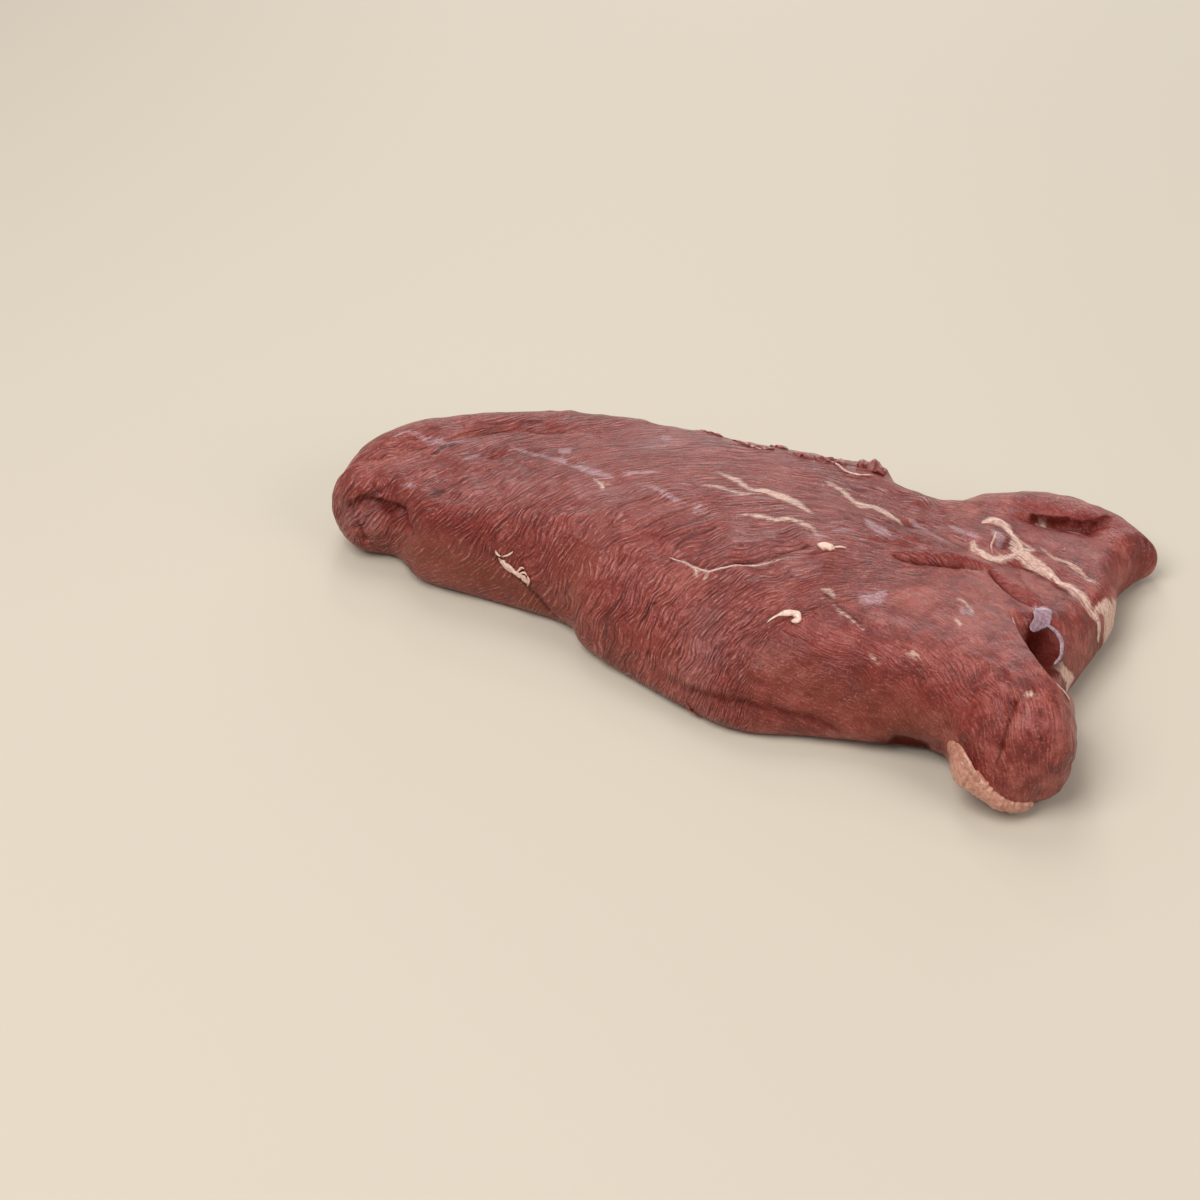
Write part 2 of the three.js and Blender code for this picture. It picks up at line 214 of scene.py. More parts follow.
def vertex_normals(points, faces):
    """Unit normals of the vertices, from the sum of the face normals round each."""
    a, b, c = (points[faces[:, i]] for i in range(3))
    face_normals = np.cross(b - a, c - a)
    normals = np.stack([sum(np.bincount(faces[:, i], face_normals[:, j], len(points))
                            for i in range(3)) for j in range(3)], 1)
    return normals / np.linalg.norm(normals, axis=1, keepdims=True)


# Folds, as lines on the skin laid flat. On the left of the line, seen along it, the
# skin drops, over the width, and comes back up with distance, over the reach.
# Columns: drop, width, reach, line.
FOLDS = {
    "edge of the top layer over the rolled far side": (
        3.4, 1.3, 9, [(-142, -14), (-135, -9), (-124, -3), (-112, 8), (-100, 17), (-91, 23),
                    (-74, 26), (-52, 30)]),
    "crest of the thumb lobe above the gap": (
        8.5, 2.0, 15, [(109, -13), (115.8, -22), (119.8, -29), (122.8, -33.5), (125.8, -38.5),
                       (128.8, -43), (133, -47), (139, -51)]),
    "torn leaf on the top": (
        1.2, 1.2, 6, [(-6, -27), (-2, -30), (5, -30), (13, -32), (19, -28), (23, -26)]),
    "gap beyond the leaf": (
        3.2, 1, 6, [(19, -28), (24, -25), (28, -22), (32, -18), (37, -14), (41, -12)]),
    "rolled rim of the flat lobe": (
        4.5, 1.1, 4, [(126, 66), (123, 59), (119, 54), (113, 53), (107, 52), (101, 51), (92, 48)]),
    "front of the top layer at the folded end": (
        3.8, 1.3, 8, [(-96, -40), (-101, -34), (-105, -30), (-108, -26), (-112, -24),
                    (-119, -23), (-126, -22), (-132, -24), (-141, -26), (-148, -28)]),
    "edge of the membrane at the near end of the leaf": (
        0.8, 1, 4, [(50, -30), (58, -36), (65, -40), (72, -44)]),
    "edge of the top layer over the brown wall": (
        1.5, 1.3, 9, [(-34, -68), (-42, -60), (-49, -53), (-55, -47.5), (-61, -43), (-66, -39.5),
                      (-74, -36)]),
    "lip along the foot of the near side": (
        -1.4, 2, 8, [(-2, -68), (15, -72), (30, -73), (45, -73), (58, -74), (68, -78), (76, -80)]),
}

# Creases: the skin sinks on both sides of the line. Columns: depth, half width, line.
CREASES = {
    "behind the thumb bulb": (1.7, 1.8, [(123, -58), (125, -63), (127, -68), (127, -75), (128, -82)]),
    "feed of the thumb crease": (0.7, 1.6, [(110, -43), (116, -47), (120, -54), (122, -60)]),
    "cream seam between the lobes": (
        1.5, 3.5, [(90, 17), (99, 16), (105, 21), (111, 20), (118, 16), (126, 13), (134, 7), (138, 5)]),
    "valley that leads to the seam": (
        1.6, 4, [(60, 24), (66, 21), (72, 23), (78, 21), (85, 19), (92, 16)]),
    "hollow under the near side": (2.5, 5, [(84, -84), (94, -84), (104, -88)]),
    "groove across the lump at the folded end": (1.6, 1.6, [(-131, -31), (-132, -35), (-133, -40)]),
    "red groove before the lobes": (
        1.8, 1.3, [(64, -5), (74, -3.4), (80, -1.5), (86, 2), (94, 8), (99, 10)]),
    "groove beyond its ridge": (0.9, 1.6, [(54, 4), (62, 7), (70, 9.5), (80, 12), (92, 15)]),
    "second red groove": (
        1.8, 1.4, [(94, 10), (98, 8), (101, 5), (105, 0.5), (110, -2.8), (116, -3.6), (121, -2)]),
    "slit in the top": (0.8, 1, [(-87, 5), (-85, 8), (-84, 12)]),
    "thin line on the flat lobe": (0.6, 1.4, [(112, 32), (118, 29), (123, 25), (130, 21)]),
}

# Lumps and hollows, as ellipses on the skin laid flat: place, half sizes, turn, height.
LUMPS = {
    "hole beside the thumb lobe": ((127.5, -22), (9, 3.8), -62, -14),
    "rim of the hole": ((133, -19), (9, 2.5), -60, 1.5),
    "front of the folded end": ((-127, -33), (15, 6), 12, 3),
    "pit under the front fold": ((-109, -27), (5, 3), -25, -3),
    "rolled far side": ((-88, 40), (38, 9), 10, 1.5),
    "rolled rim": ((110, 59), (15, 5), 0, 1.8),
    "loose knob on the far edge": ((44, 55), (5, 4), 20, 2.5),
    "hollow below the near shoulder": ((74, -64), (24, 11), 0, -3),
    "near shoulder before the thumb lobe": ((103, -66), (9, 7), 0, 1.5),
    "bulb of the thumb lobe": ((138, -70), (12, 15), 0, 1.6),
    "red ridge before the lobes": ((82, 4.8), (13, 2.6), 27, 1.9),
    "thin ridge beyond it": ((67, 5), (12, 1.6), 17, 1.1),
    "ridge beside the second groove": ((109, 3.6), (9, 2.8), -38, 1.6),
    "hollow beside the silver patch": ((80, -31), (8, 6), -20, -1.4),
    "gristle beside the cream seam": ((95, 31), (7, 6), 0, 1.6),
    "hollow in the gristle": ((96, 28), (3.5, 3), 0, -1.6),
    "fat flap under the thumb lobe": ((124, -88), (15, 5), -25, 1.8),
}
FOLD_FADE = 0.2
RELIEF_FOOT = 8


def smoothstep(x, low, high):
    """0 below low, 1 above high, and a smooth rise between."""
    t = np.clip((x - low) / (high - low), 0, 1)
    return t * t * (3 - 2 * t)


def beside_line(line, flat):
    """Distance to a line of points, more than zero on its left, and how far along
    the line the nearest point is, from 0 to 1."""
    line = np.asarray(line, float)
    distance = np.full(len(flat), np.inf)
    along = np.zeros(len(flat))
    for i, (start, step) in enumerate(zip(line[:-1], np.diff(line, axis=0))):
        offset = flat - start
        t = np.clip(offset @ step / (step @ step), 0, 1)
        gap = np.linalg.norm(offset - t[:, None] * step, axis=1)
        side = np.where(step[0] * offset[:, 1] - step[1] * offset[:, 0] < 0, -1, 1)
        nearer = gap < np.abs(distance)
        distance = np.where(nearer, gap * side, distance)
        along = np.where(nearer, (i + t) / (len(line) - 1), along)
    return distance, along


def line_fade(along):
    """0 at both ends of a line, 1 over its middle."""
    return smoothstep(np.minimum(along, 1 - along), 0, FOLD_FADE)


def relief(flat):
    """Height of the folds, creases and lumps at places on the skin laid flat."""
    height = np.zeros(len(flat))
    for drop, width, reach, line in FOLDS.values():
        distance, along = beside_line(line, flat)
        step = smoothstep(distance, -width, width) * np.exp(-np.maximum(distance, 0) / reach)
        height -= drop * line_fade(along) * step
    for depth, width, line in CREASES.values():
        distance, along = beside_line(line, flat)
        height -= depth * line_fade(along) * np.exp(-(distance / width) ** 2)
    for place, half, turn, rise in LUMPS.values():
        cosine, sine = math.cos(math.radians(turn)), math.sin(math.radians(turn))
        offset = flat - place
        a = (offset @ (cosine, sine)) / half[0]
        b = (offset @ (-sine, cosine)) / half[1]
        height += rise * np.exp(-(a ** 2 + b ** 2))
    return height


# Large odd numbers that stir the hash, and its 32 bits.
STIR_U, STIR_V, STIR_SEED, STIR_AGAIN = 374761393, 668265263, 974634777, 1274126177
ALL_BITS = 0xffffffff


def noise(u, v, seed):
    """Smooth random values from -1 to 1: a hash at whole numbers, blended between."""
    def at_corner(i, j):
        h = (i * STIR_U + j * STIR_V + seed * STIR_SEED) & ALL_BITS
        h = ((h ^ (h >> 13)) * STIR_AGAIN) & ALL_BITS
        return (h ^ (h >> 16)) / (ALL_BITS >> 1) - 1
    i, j = np.floor(u).astype(np.int64), np.floor(v).astype(np.int64)
    a, b = smoothstep(u - i, 0, 1), smoothstep(v - j, 0, 1)
    low = at_corner(i, j) * (1 - a) + at_corner(i + 1, j) * a
    high = at_corner(i, j + 1) * (1 - a) + at_corner(i + 1, j + 1) * a
    return low * (1 - b) + high * b


# Which way the fibres run at places on the skin laid flat: x, y, degrees from +X.
# The long muscle fans from across the folded end to along the far side; the flesh of
# the thumb lobe and of the flat lobe runs the other way.
LONG_GRAIN = np.array([
    [-135, 0, 50], [-120, 10, 35], [-100, 35, 15], [-120, -15, 50], [-105, -15, 55],
    [-90, 0, 62], [-90, -20, 66], [-75, 30, 22], [-75, 12, 48], [-60, 0, 48],
    [-60, -20, 62], [-45, 20, 32], [-45, -10, 62], [-30, 0, 40], [-30, -25, 68],
    [-30, 30, 30], [-15, -30, 70], [0, 0, 33], [0, 25, 20], [0, 45, 12], [0, -45, 72],
    [15, -30, 50], [15, -60, 68], [30, 0, 18], [30, -25, 35], [30, -50, 70], [30, 25, 5],
    [45, 20, -10], [45, -20, 33], [60, 0, 10], [60, 25, 5], [-60, -50, 60]], float)
LOBE_GRAIN = np.array([
    [60, -45, -10], [60, -60, -20], [60, -75, -17], [75, -45, -22], [75, -60, -30],
    [75, -30, -25], [90, -45, -20], [90, -60, -35], [90, -15, -18], [105, -45, -27],
    [105, -60, -38], [105, -15, -30], [105, 0, -22], [120, -30, -42], [120, -45, -52],
    [120, -60, -45], [120, -80, -50], [135, -60, -60], [135, -75, -70], [120, 0, -25],
    [120, 15, -25], [135, 15, -18], [90, 15, 0], [90, 30, -12], [105, 30, -30],
    [120, 30, -30], [135, 45, -28], [105, 60, -10], [135, -95, -45]], float)
GRAIN_UNIT = 100
GRAIN_DEGREE = 4


def grain_terms(flat):
    """Powers x^i y^j up to the grain degree, without the constant, and their slopes."""
    x, y = (flat / GRAIN_UNIT).T
    pairs = [(i, n - i) for n in range(1, GRAIN_DEGREE + 1) for i in range(n + 1)]
    value = np.stack([x ** i * y ** j for i, j in pairs], 1) * GRAIN_UNIT
    slope_x = np.stack([i * x ** max(i - 1, 0) * y ** j for i, j in pairs], 1)
    slope_y = np.stack([j * x ** i * y ** max(j - 1, 0) for i, j in pairs], 1)
    return value, slope_x, slope_y


def grain_map(guides, flat):
    """Distance across and along the fibres at flat places: the two polynomials whose
    slopes fit the guides' directions best, by least squares."""
    angle = np.radians(guides[:, 2:3])
    _, slope_x, slope_y = grain_terms(guides[:, :2])
    along = slope_x * np.cos(angle) + slope_y * np.sin(angle)
    across = slope_y * np.cos(angle) - slope_x * np.sin(angle)
    zero, one = np.zeros(len(guides)), np.ones(len(guides))
    system = np.concatenate([2 * along, across])
    for_across = np.linalg.lstsq(system, np.concatenate([zero, one]), rcond=None)[0]
    system = np.concatenate([along, 2 * across])
    for_along = np.linalg.lstsq(system, np.concatenate([one, zero]), rcond=None)[0]
    value = grain_terms(flat)[0]
    return value @ for_across, value @ for_along


# Where the lobes' grain takes over from the long muscle's: left of this line.
GRAIN_BORDER = [(40, -110), (40, -58), (45, -50), (48, -46), (62, -34), (84, -14), (86, 20),
                (72, 60)]
GRAIN_BORDER_WIDTH = 3

# Bundles of fibres stand proud along the grain, more in some places than in others and
# half as high on the lobes. They wander sideways, and the whole skin is uneven: spacing
# and height of its bumps.
BUNDLE_SPACING, BUNDLE_LENGTH, BUNDLE_HEIGHT, LOBE_BUNDLES = 1.9, 9, 0.36, 0.5
STRENGTH_MIDDLE, STRENGTH_SWING, STRENGTH_SPACING = 0.45, 0.55, 20
WANDER, WANDER_SPACING = 1.3, 7
WANDER_SEED, STRENGTH_SEED, BUNDLE_SEED = 3, 4, 5
UNEVEN_HEIGHT = {22: 0.6, 9: 0.5, 4: 0.3}
MM = 0.001

skin, laid_flat, triangles = closed_skin()
outwards = vertex_normals(skin, triangles)
foot = smoothstep(skin[:, 2], 0, RELIEF_FOOT)
border, _ = beside_line(GRAIN_BORDER, laid_flat)
lobe_share = smoothstep(-border, -GRAIN_BORDER_WIDTH, GRAIN_BORDER_WIDTH)
wander = WANDER * noise(*(laid_flat / WANDER_SPACING).T, WANDER_SEED)
uneven_strength = noise(*(laid_flat / STRENGTH_SPACING).T, STRENGTH_SEED)
strength = STRENGTH_MIDDLE + STRENGTH_SWING * uneven_strength
fibre_maps = []
height = relief(laid_flat)
for guides, share, rise in ((LONG_GRAIN, 1 - lobe_share, 1),
                            (LOBE_GRAIN, lobe_share, LOBE_BUNDLES)):
    across, along = grain_map(guides, laid_flat)
    across = across + wander
    fibre_maps.append(np.stack([across, along, share], 1))
    bundles = noise(across / BUNDLE_SPACING, along / BUNDLE_LENGTH, BUNDLE_SEED)
    height += BUNDLE_HEIGHT * rise * share * strength * bundles
for spacing, rise in UNEVEN_HEIGHT.items():
    height += rise * noise(*(laid_flat / spacing).T, spacing)
outline_middle = (skin.min(0) + skin.max(0)) / 2
skin = skin + outwards * (height * foot)[:, None]
skin[:, :2] -= outline_middle[:2]


def mesh_object(name, points, faces):
    """A smooth mesh object from points in millimetres and faces."""
    mesh = bpy.data.meshes.new(name)
    mesh.from_pydata((np.asarray(points) * MM).tolist(), [], np.asarray(faces).tolist())
    mesh.polygons.foreach_set("use_smooth", np.ones(len(mesh.polygons), bool))
    piece = bpy.data.objects.new(name, mesh)
    bpy.context.scene.collection.objects.link(piece)
    return piece


def store(piece, name, values):
    """Keeps numbers for every vertex under a name that the material reads."""
    kind = "FLOAT" if values.ndim == 1 else "FLOAT_VECTOR"
    attribute = piece.data.attributes.new(name, kind, "POINT")
    attribute.data.foreach_set("value" if values.ndim == 1 else "vector",
                               values.astype(np.float32).ravel())


muscle = mesh_object("muscle", skin, triangles)
store(muscle, "long_grain", fibre_maps[0])
store(muscle, "lobe_grain", fibre_maps[1])

# Connective tissue that lies in the surface of the meat: half width, line on the skin
# laid flat. Cream seams are gristle and fat, silver ones are thin shining skin.
CREAM_SEAMS = [
    (1.0, [(-4, 18), (1, 16), (5, 15), (10, 12), (14, 11)]),
    (1.9, [(10, 12), (14, 12), (16, 13), (20, 12), (25, 11), (30, 9), (36, 6)]),
    (0.6, [(-6, 8), (-1, 8), (5, 8), (11, 8), (17, 11)]),
    (0.8, [(12, -3), (16, -2), (21, -2), (25, -2), (30, 0), (34, -1), (39, -3), (42, -7)]),
    (0.9, [(31, 32), (35, 31), (40, 28), (44, 24)]),
    (1.9, [(41, 27), (44, 24), (48, 22), (52, 23), (57, 21), (60, 20), (66, 20)]),
    (0.6, [(-4, -28), (-2, -29), (2, -29), (6, -31), (10, -32), (13, -32), (16, -30),
           (19, -28), (22, -26), (27, -25.5), (31, -22.5), (36, -18.5)]),
    (0.5, [(6, -31), (8, -32), (10, -36)]),
    (0.5, [(12, -32), (13, -36)]),
    (1.9, [(86, 38), (89, 41), (93, 40), (97, 36.5)]),
    (1.2, [(95, 38), (98, 35), (101, 32), (104, 27)]),
    (1.0, [(98, 34), (99, 30), (103, 28), (106, 31), (103, 33)]),
    (1.6, [(86, 24), (88, 21), (91, 18.5), (95, 17), (98, 19), (101, 23), (103, 28)]),
    (2.6, [(99, 28), (102, 27), (104, 26), (107, 24.5), (111, 22.5), (115, 20.5), (119, 18)]),
    (1.6, [(117, 19), (123, 16.5), (128, 13), (133, 8), (138, 7), (144, 6)]),
    (0.7, [(107, 35), (113, 30), (118, 30), (122, 28), (126, 24), (131, 21)]),
    (3.6, [(134, 10), (138, 15), (144, 17), (151, 17), (156, 17)]),
    (4.8, [(139, 12), (144, 15), (149, 15), (154, 12)]),
    (3.4, [(138, 21), (146, 22), (154, 23)]),
    (0.7, [(102, 51), (104, 51), (107, 49)]),
    (0.6, [(93, -18), (94, -18), (96, -18), (98, -20), (101, -23)]),
    (0.8, [(51, -29), (54, -30), (57, -32)]),
    (0.5, [(56, -34), (61, -38), (65, -40), (71, -44)]),
    (0.5, [(75, -52), (79, -55)]),
    (0.6, [(87, -50), (89, -50), (92, -51)]),
    (0.5, [(97, -30), (100, -34)]),
    (0.5, [(-43, 0), (-39, -2), (-37, -5)]),
    (0.7, [(128, -60.5), (131, -59.5), (133, -59.5)]),
    (2.4, [(134, -20), (136, -22), (144, -21), (150, -26)]),
]
SILVER_SEAMS = [
    (0.9, [(-96, 2), (-91, 6)]),
    (0.8, [(-82, 14), (-73, 12), (-66, 10), (-59, 8), (-55, 7)]),
    (1.9, [(-56, 7), (-50, 6), (-46, 5), (-41, 4), (-37, 3)]),
    (2.2, [(-64, 17), (-59, 15)]),
    (1.6, [(-61, 9), (-57, 8)]),
    (0.7, [(-35, 4), (-29, 8), (-22, 10)]),
    (0.9, [(-26, 1), (-20, 0), (-14, -2), (-8, -3)]),
    (0.6, [(-2, -8), (-2, -2)]),
    (0.6, [(-128, 9), (-125, 13), (-121, 14), (-117, 13), (-114, 14)]),
    (1.5, [(-116, 11), (-111, 14), (-106, 12), (-99, 13)]),
    (0.5, [(-111, -17), (-104, -18)]),
    (1.5, [(64, 25), (70, 22.5), (77, 19.5), (84, 17.5)]),
    (0.9, [(66, 20), (73, 18), (80, 15.5)]),
    (2.2, [(52, 12), (57, 9), (63, 8)]),
    (0.7, [(45, -1), (51, 1)]),
    (0.7, [(40, -7), (45, -6)]),
    (2.6, [(64, -29), (67, -30), (70, -28), (71, -23)]),
    (2.0, [(97, -22), (101, -26)]),
    (2.6, [(116, -3), (119, -6), (120, -9)]),
    (1.0, [(114, 50), (119, 50)]),
    (1.6, [(76, 30), (82, 28), (88, 27)]),
    (1.6, [(90, 35), (94, 31), (96, 26)]),
    (1.5, [(-32, 34), (-28, 35)]),
    (1.8, [(-24, 45), (-16, 48)]),
    (1.5, [(2, 44), (9, 48)]),
    (1.5, [(15, 51), (26, 50), (33, 48)]),
]

# Soft deep red, brown and grey places on the skin laid flat: strength, half width, line.
DEEP_RED = [
    (0.7, 6, [(49, -50), (56, -50), (65, -50), (76, -49)]),
    (0.7, 5, [(76, -56), (90, -62), (104, -62), (112, -66)]),
    (0.9, 2.6, [(70, 0), (75, 2), (80, 4), (86, 7), (92, 10)]),
    (0.7, 1.8, [(57, 1), (67, 5), (77, 8.5)]),
    (0.9, 2.4, [(99, 9), (104, 5), (110, 1), (117, -1)]),
    (0.7, 2.0, [(-17, -22), (-8, -20), (0, -17)]),
    (0.8, 1.6, [(22, -25), (28, -22), (33, -17), (38, -13)]),
    (0.9, 4, [(96, 56), (103, 56), (109, 57), (116, 57), (122, 62)]),
    (0.8, 2.5, [(-86, 31), (-80, 33), (-74, 32)]),
    (0.8, 2.5, [(-9, 32), (-3, 34)]),
    (0.8, 2.0, [(28, 47), (33, 46), (36, 45)]),
    (0.8, 2.0, [(-114, -28), (-106, -30), (-101, -34)]),
    (0.8, 1.8, [(-131, -31), (-132, -37)]),
    (0.7, 2.2, [(66, 27), (72, 29), (80, 30)]),
    (0.7, 2.0, [(56, 14), (66, 10), (74, 10)]),
    (0.7, 1.6, [(89, -42), (93, -38), (96, -35)]),
    (0.6, 4, [(105, 38), (104, 44), (100, 48)]),
    (0.7, 3, [(52, -27), (46, -28), (40, -27)]),
    (0.6, 5, [(-95, -28), (-82, -29), (-72, -31)]),
    (0.6, 3, [(142, 46), (146, 52), (146, 58)]),
]
# Brown: partly the meat's own brown, partly painted shade and painted warm bounce light on the low walls
# and in the hollow under the near side.
BROWN_AND_SHADE = [
    (0.8, 11, [(46, -62), (61, -68), (77, -70), (96, -74)]),
    (1.0, 9, [(-98, -42), (-84, -46), (-66, -51)]),
    (0.9, 8, [(-64, -52), (-50, -58), (-36, -66)]),
    (0.5, 8, [(-30, -28), (-34, -36), (-32, -46)]),
    (0.5, 6, [(-34, -18), (-30, -26)]),
]
# Grey: partly the grey of thin skin, partly a painted sheen on the far shoulder and the top.
GREY_AND_SHEEN = [
    (0.9, 9, [(-34, 32), (-6, 42), (18, 46), (34, 44)]),
    (0.6, 7, [(-30, 44), (0, 54), (24, 56)]),
    (0.5, 8, [(14, -10), (26, -12), (38, -10)]),
    (0.3, 6, [(30, -24), (42, -18), (54, -16)]),
    (0.4, 8, [(-40, -6), (-22, -8), (-8, -8)]),
    (0.5, 7, [(18, -52), (22, -62), (18, -70)]),
    (0.5, 7, [(-84, -10), (-74, -4), (-66, -10)]),
    (0.7, 4, [(-142, -28), (-134, -29), (-124, -32)]),
    (0.5, 6, [(112, 42), (122, 40), (130, 36)]),
    (0.5, 5, [(-110, 14), (-100, 12), (-92, 16)]),
]

# Painted shade, dark red, down in the deepest gaps, in the hole and under the near side: strength, half
# width, line.
DEEP_SHADE = [
    (1.2, 4.2, [(121, -16), (124, -22), (127, -28), (130, -33)]),
    (1.0, 3.4, [(124, -13), (128, -15.5), (131, -18.5), (133, -22.5), (134, -26)]),
    (1.1, 1.1, [(100, 51.4), (103, 51.8), (108, 52.6), (112, 53.8)]),
    (0.8, 0.7, [(111, 53.6), (117, 54.2), (121, 57), (124, 63)]),
    (1.0, 1.2, [(20, -26.4), (24, -24), (28, -21.5), (32, -18), (37, -13.5), (40, -12)]),
    (0.7, 0.8, [(127, -63), (126.5, -68), (127, -75), (128, -82)]),
    (0.6, 0.7, [(137.5, -72), (139, -68)]),
    (0.5, 0.9, [(-121, -25), (-113, -27), (-107, -30)]),
    (0.7, 2.4, [(-120, -25), (-115, -27)]),
    (0.5, 0.8, [(-131, -31), (-132, -36)]),
    (0.8, 0.9, [(68, -4.4), (75, -3.2), (80, -1.5), (86, 2), (93, 7.5)]),
    (0.8, 0.9, [(97, 9), (101, 5), (105, 0.5), (110, -2.8), (115, -3.6)]),
    (0.35, 4.5, [(74, -27), (80, -31), (86, -33)]),
    (0.35, 1.6, [(60, 12), (70, 12), (82, 13.5)]),
    (0.7, 1.4, [(-86, 31.5), (-79, 33.5)]),
    (0.6, 1.6, [(96, 29), (97, 27)]),
    (0.5, 0.8, [(-16, -21), (-8, -20), (-1, -17)]),
    (0.6, 1.0, [(34, 47), (40, 49), (46, 49)]),
    (0.5, 0.8, [(45, -28), (41, -27), (38, -28)]),
    (0.9, 5, [(84, -86), (94, -87), (104, -90)]),
    (0.4, 0.8, [(97, -21), (100, -26), (104, -31)]),
]
FOLD_SHADE = 0.6
FAR_OUTSIDE = -9.0
SEAM_TAPER = (-0.02, 0.35)
FACING_DOWN = -0.7


def deep_shade_value():
    """Painted shade: the dark lines, and a little of the same beside every fold and in every crease."""
    value = tone_value(DEEP_SHADE)
    for drop, width, _, line in FOLDS.values():
        distance, along = beside_line(line, laid_flat)
        band = np.exp(-((distance - np.sign(drop) * width) / width) ** 2)
        value = np.maximum(value, FOLD_SHADE * line_fade(along) * band)
    for depth, width, line in CREASES.values():
        distance, along = beside_line(line, laid_flat)
        shade = min(1, depth / 2) * FOLD_SHADE * line_fade(along)
        value = np.maximum(value, shade * np.exp(-(2 * distance / width) ** 2))
    return value


def seam_value(table):
    """Depth inside the nearest seam: its half width, less towards its ends, minus the
    distance to its line. Above zero is inside."""
    value = np.full(len(laid_flat), FAR_OUTSIDE)
    for width, line in table:
        distance, along = beside_line(line, laid_flat)
        taper = np.sqrt(smoothstep(np.minimum(along, 1 - along), *SEAM_TAPER))
        value = np.maximum(value, width * taper - np.abs(distance))
    return np.where(outwards[:, 2] < FACING_DOWN, FAR_OUTSIDE, value)


def tone_value(table):
    """The strongest of the bands along the lines, each its strength times a bell curve
    of the distance."""
    value = np.zeros(len(laid_flat))
    for strong, width, line in table:
        distance, _ = beside_line(line, laid_flat)
        value = np.maximum(value, strong * np.exp(-(distance / width) ** 2))
    return value


# The third number is the painted shade of the deepest gaps, folds and creases.
seams = np.stack([seam_value(CREAM_SEAMS), seam_value(SILVER_SEAMS), deep_shade_value()], 1)
store(muscle, "seams", seams)
store(muscle, "tones", np.stack([tone_value(t) for t in (DEEP_RED, BROWN_AND_SHADE, GREY_AND_SHEEN)], 1))


def linear(colour):
    """An sRGB hex colour as linear red, green, blue and full alpha."""
    value = np.array([int(colour[i:i + 2], 16) for i in (1, 3, 5)]) / 255
    value = np.where(value <= 0.04045, value / 12.92, ((value + 0.055) / 1.055) ** 2.4)
    return (*value.tolist(), 1.0)


def add(tree, kind, settings, *inputs, **named):
    """Adds a shader node with its settings, then puts values or links on its sockets in
    use: in their order, or by name in lower case with _ for a space. A node given as a
    value stands for its first output in use."""
    node = tree.nodes.new("ShaderNode" + kind)
    for key, value in settings.items():
        setattr(node, key, value)
    sockets = [socket for socket in node.inputs if socket.enabled]
    by_name = {socket.name.lower().replace(" ", "_"): socket for socket in sockets}
    pairs = [*zip(sockets, inputs), *((by_name[name], value) for name, value in named.items())]
    for socket, value in pairs:
        if isinstance(value, bpy.types.Node):
            value = next(output for output in value.outputs if output.enabled)
        if isinstance(value, bpy.types.NodeSocket):
            tree.links.new(value, socket)
        else:
            socket.default_value = value
    return node


def new_material(name):
    """A node material without nodes, and its tree."""
    material = bpy.data.materials.new(name)
    material.use_nodes = True
    material.node_tree.nodes.clear()
    return material, material.node_tree


# Raw lean beef, cut and trimmed by knife, moist. Its dark red fibres lie in strands of
# about a millimetre with painted shade in the thin gaps, and its wet skin gives small
# broken glints, added to by painted highlights on pale crests and specks.
LEAN_STOPS = ((0.2, "#67231c"), (0.5, "#88372e"), (0.8, "#a3564b"))
# Colours of the painted shade in the gaps between strands, of the painted shade in the deepest gaps, and of
# the painted highlight on crests and specks.
GAP_SHADE_COLOUR, DEEP_SHADE_COLOUR, CREST_HIGHLIGHT_COLOUR = "#48110b", "#451009", "#c08a81"
# The most painted shade down in the deepest gaps, the rise of the seams, and the depth of the bump in
# millimetres.
DEEP_SHADE_MOST, SEAM_RISE, BEEF_RELIEF = 0.86, 0.8, 0.45

# The colours of deep red, brown and grey places, and how much of it they take. The brown
# is partly painted shade and warm light, the grey partly painted sheen.
TONES = {"deep_red": ("#801b13", 0.8), "brown": ("#73301b", 0.85), "grey": ("#a9827f", 0.4)}

# Seams: darker and lighter shade, softness of the edge, and how much they cover.
SEAMS = {"silver": ("#8a565c", "#cba6a9", 1.0, 0.7), "cream": ("#b88676", "#edcbb9", 0.8, 0.88)}

# Fine strands and the grooves between bundles: their spacing in millimetres, and the
# bends that noise gives them: width, length and how many spacings sideways.
WAVY = {"strands": (1.4, ((4.5, 14.0, 2.4), (1.4, 4.5, 0.6))),
        "grooves": (5.0, ((12.0, 32.0, 2.0), (3.0, 10.0, 0.5)))}

# Noise along the fibres: width, length, detail. Round noise: size of its spots.
STRETCHED = {"hair": (0.5, 5.0, 2.0), "strand_breaks": (1.7, 7.0, 1.0),
             "groove_breaks": (6.0, 20.0, 1.0)}
SPOTTED = {"blotch": 22.2, "patch": 8.33, "mottle": 3.03, "fine": 0.769}
NOISE_DETAIL, NOISE_ROUGHNESS = 3.0, 0.6
LEAN_WEIGHTS = {"hair": 0.5, "fine": 0.7, "mottle": 0.45, "patch": 0.6, "blotch": 0.8}
RELIEF_WEIGHTS = {"hair": 0.4, "fine": 0.5, "mottle": 1.6}
LOBE_SWING, TONE_BREAKS = (0.3, 0.7, -0.16, 0.16), (0.38, 0.62, 0.6, 1.0)
SEAM_RAGS, RAGS_START, SEAM_TINTS = {"mottle": 2.4, "hair": 1.4}, -1.9, (0.6, 1.3)

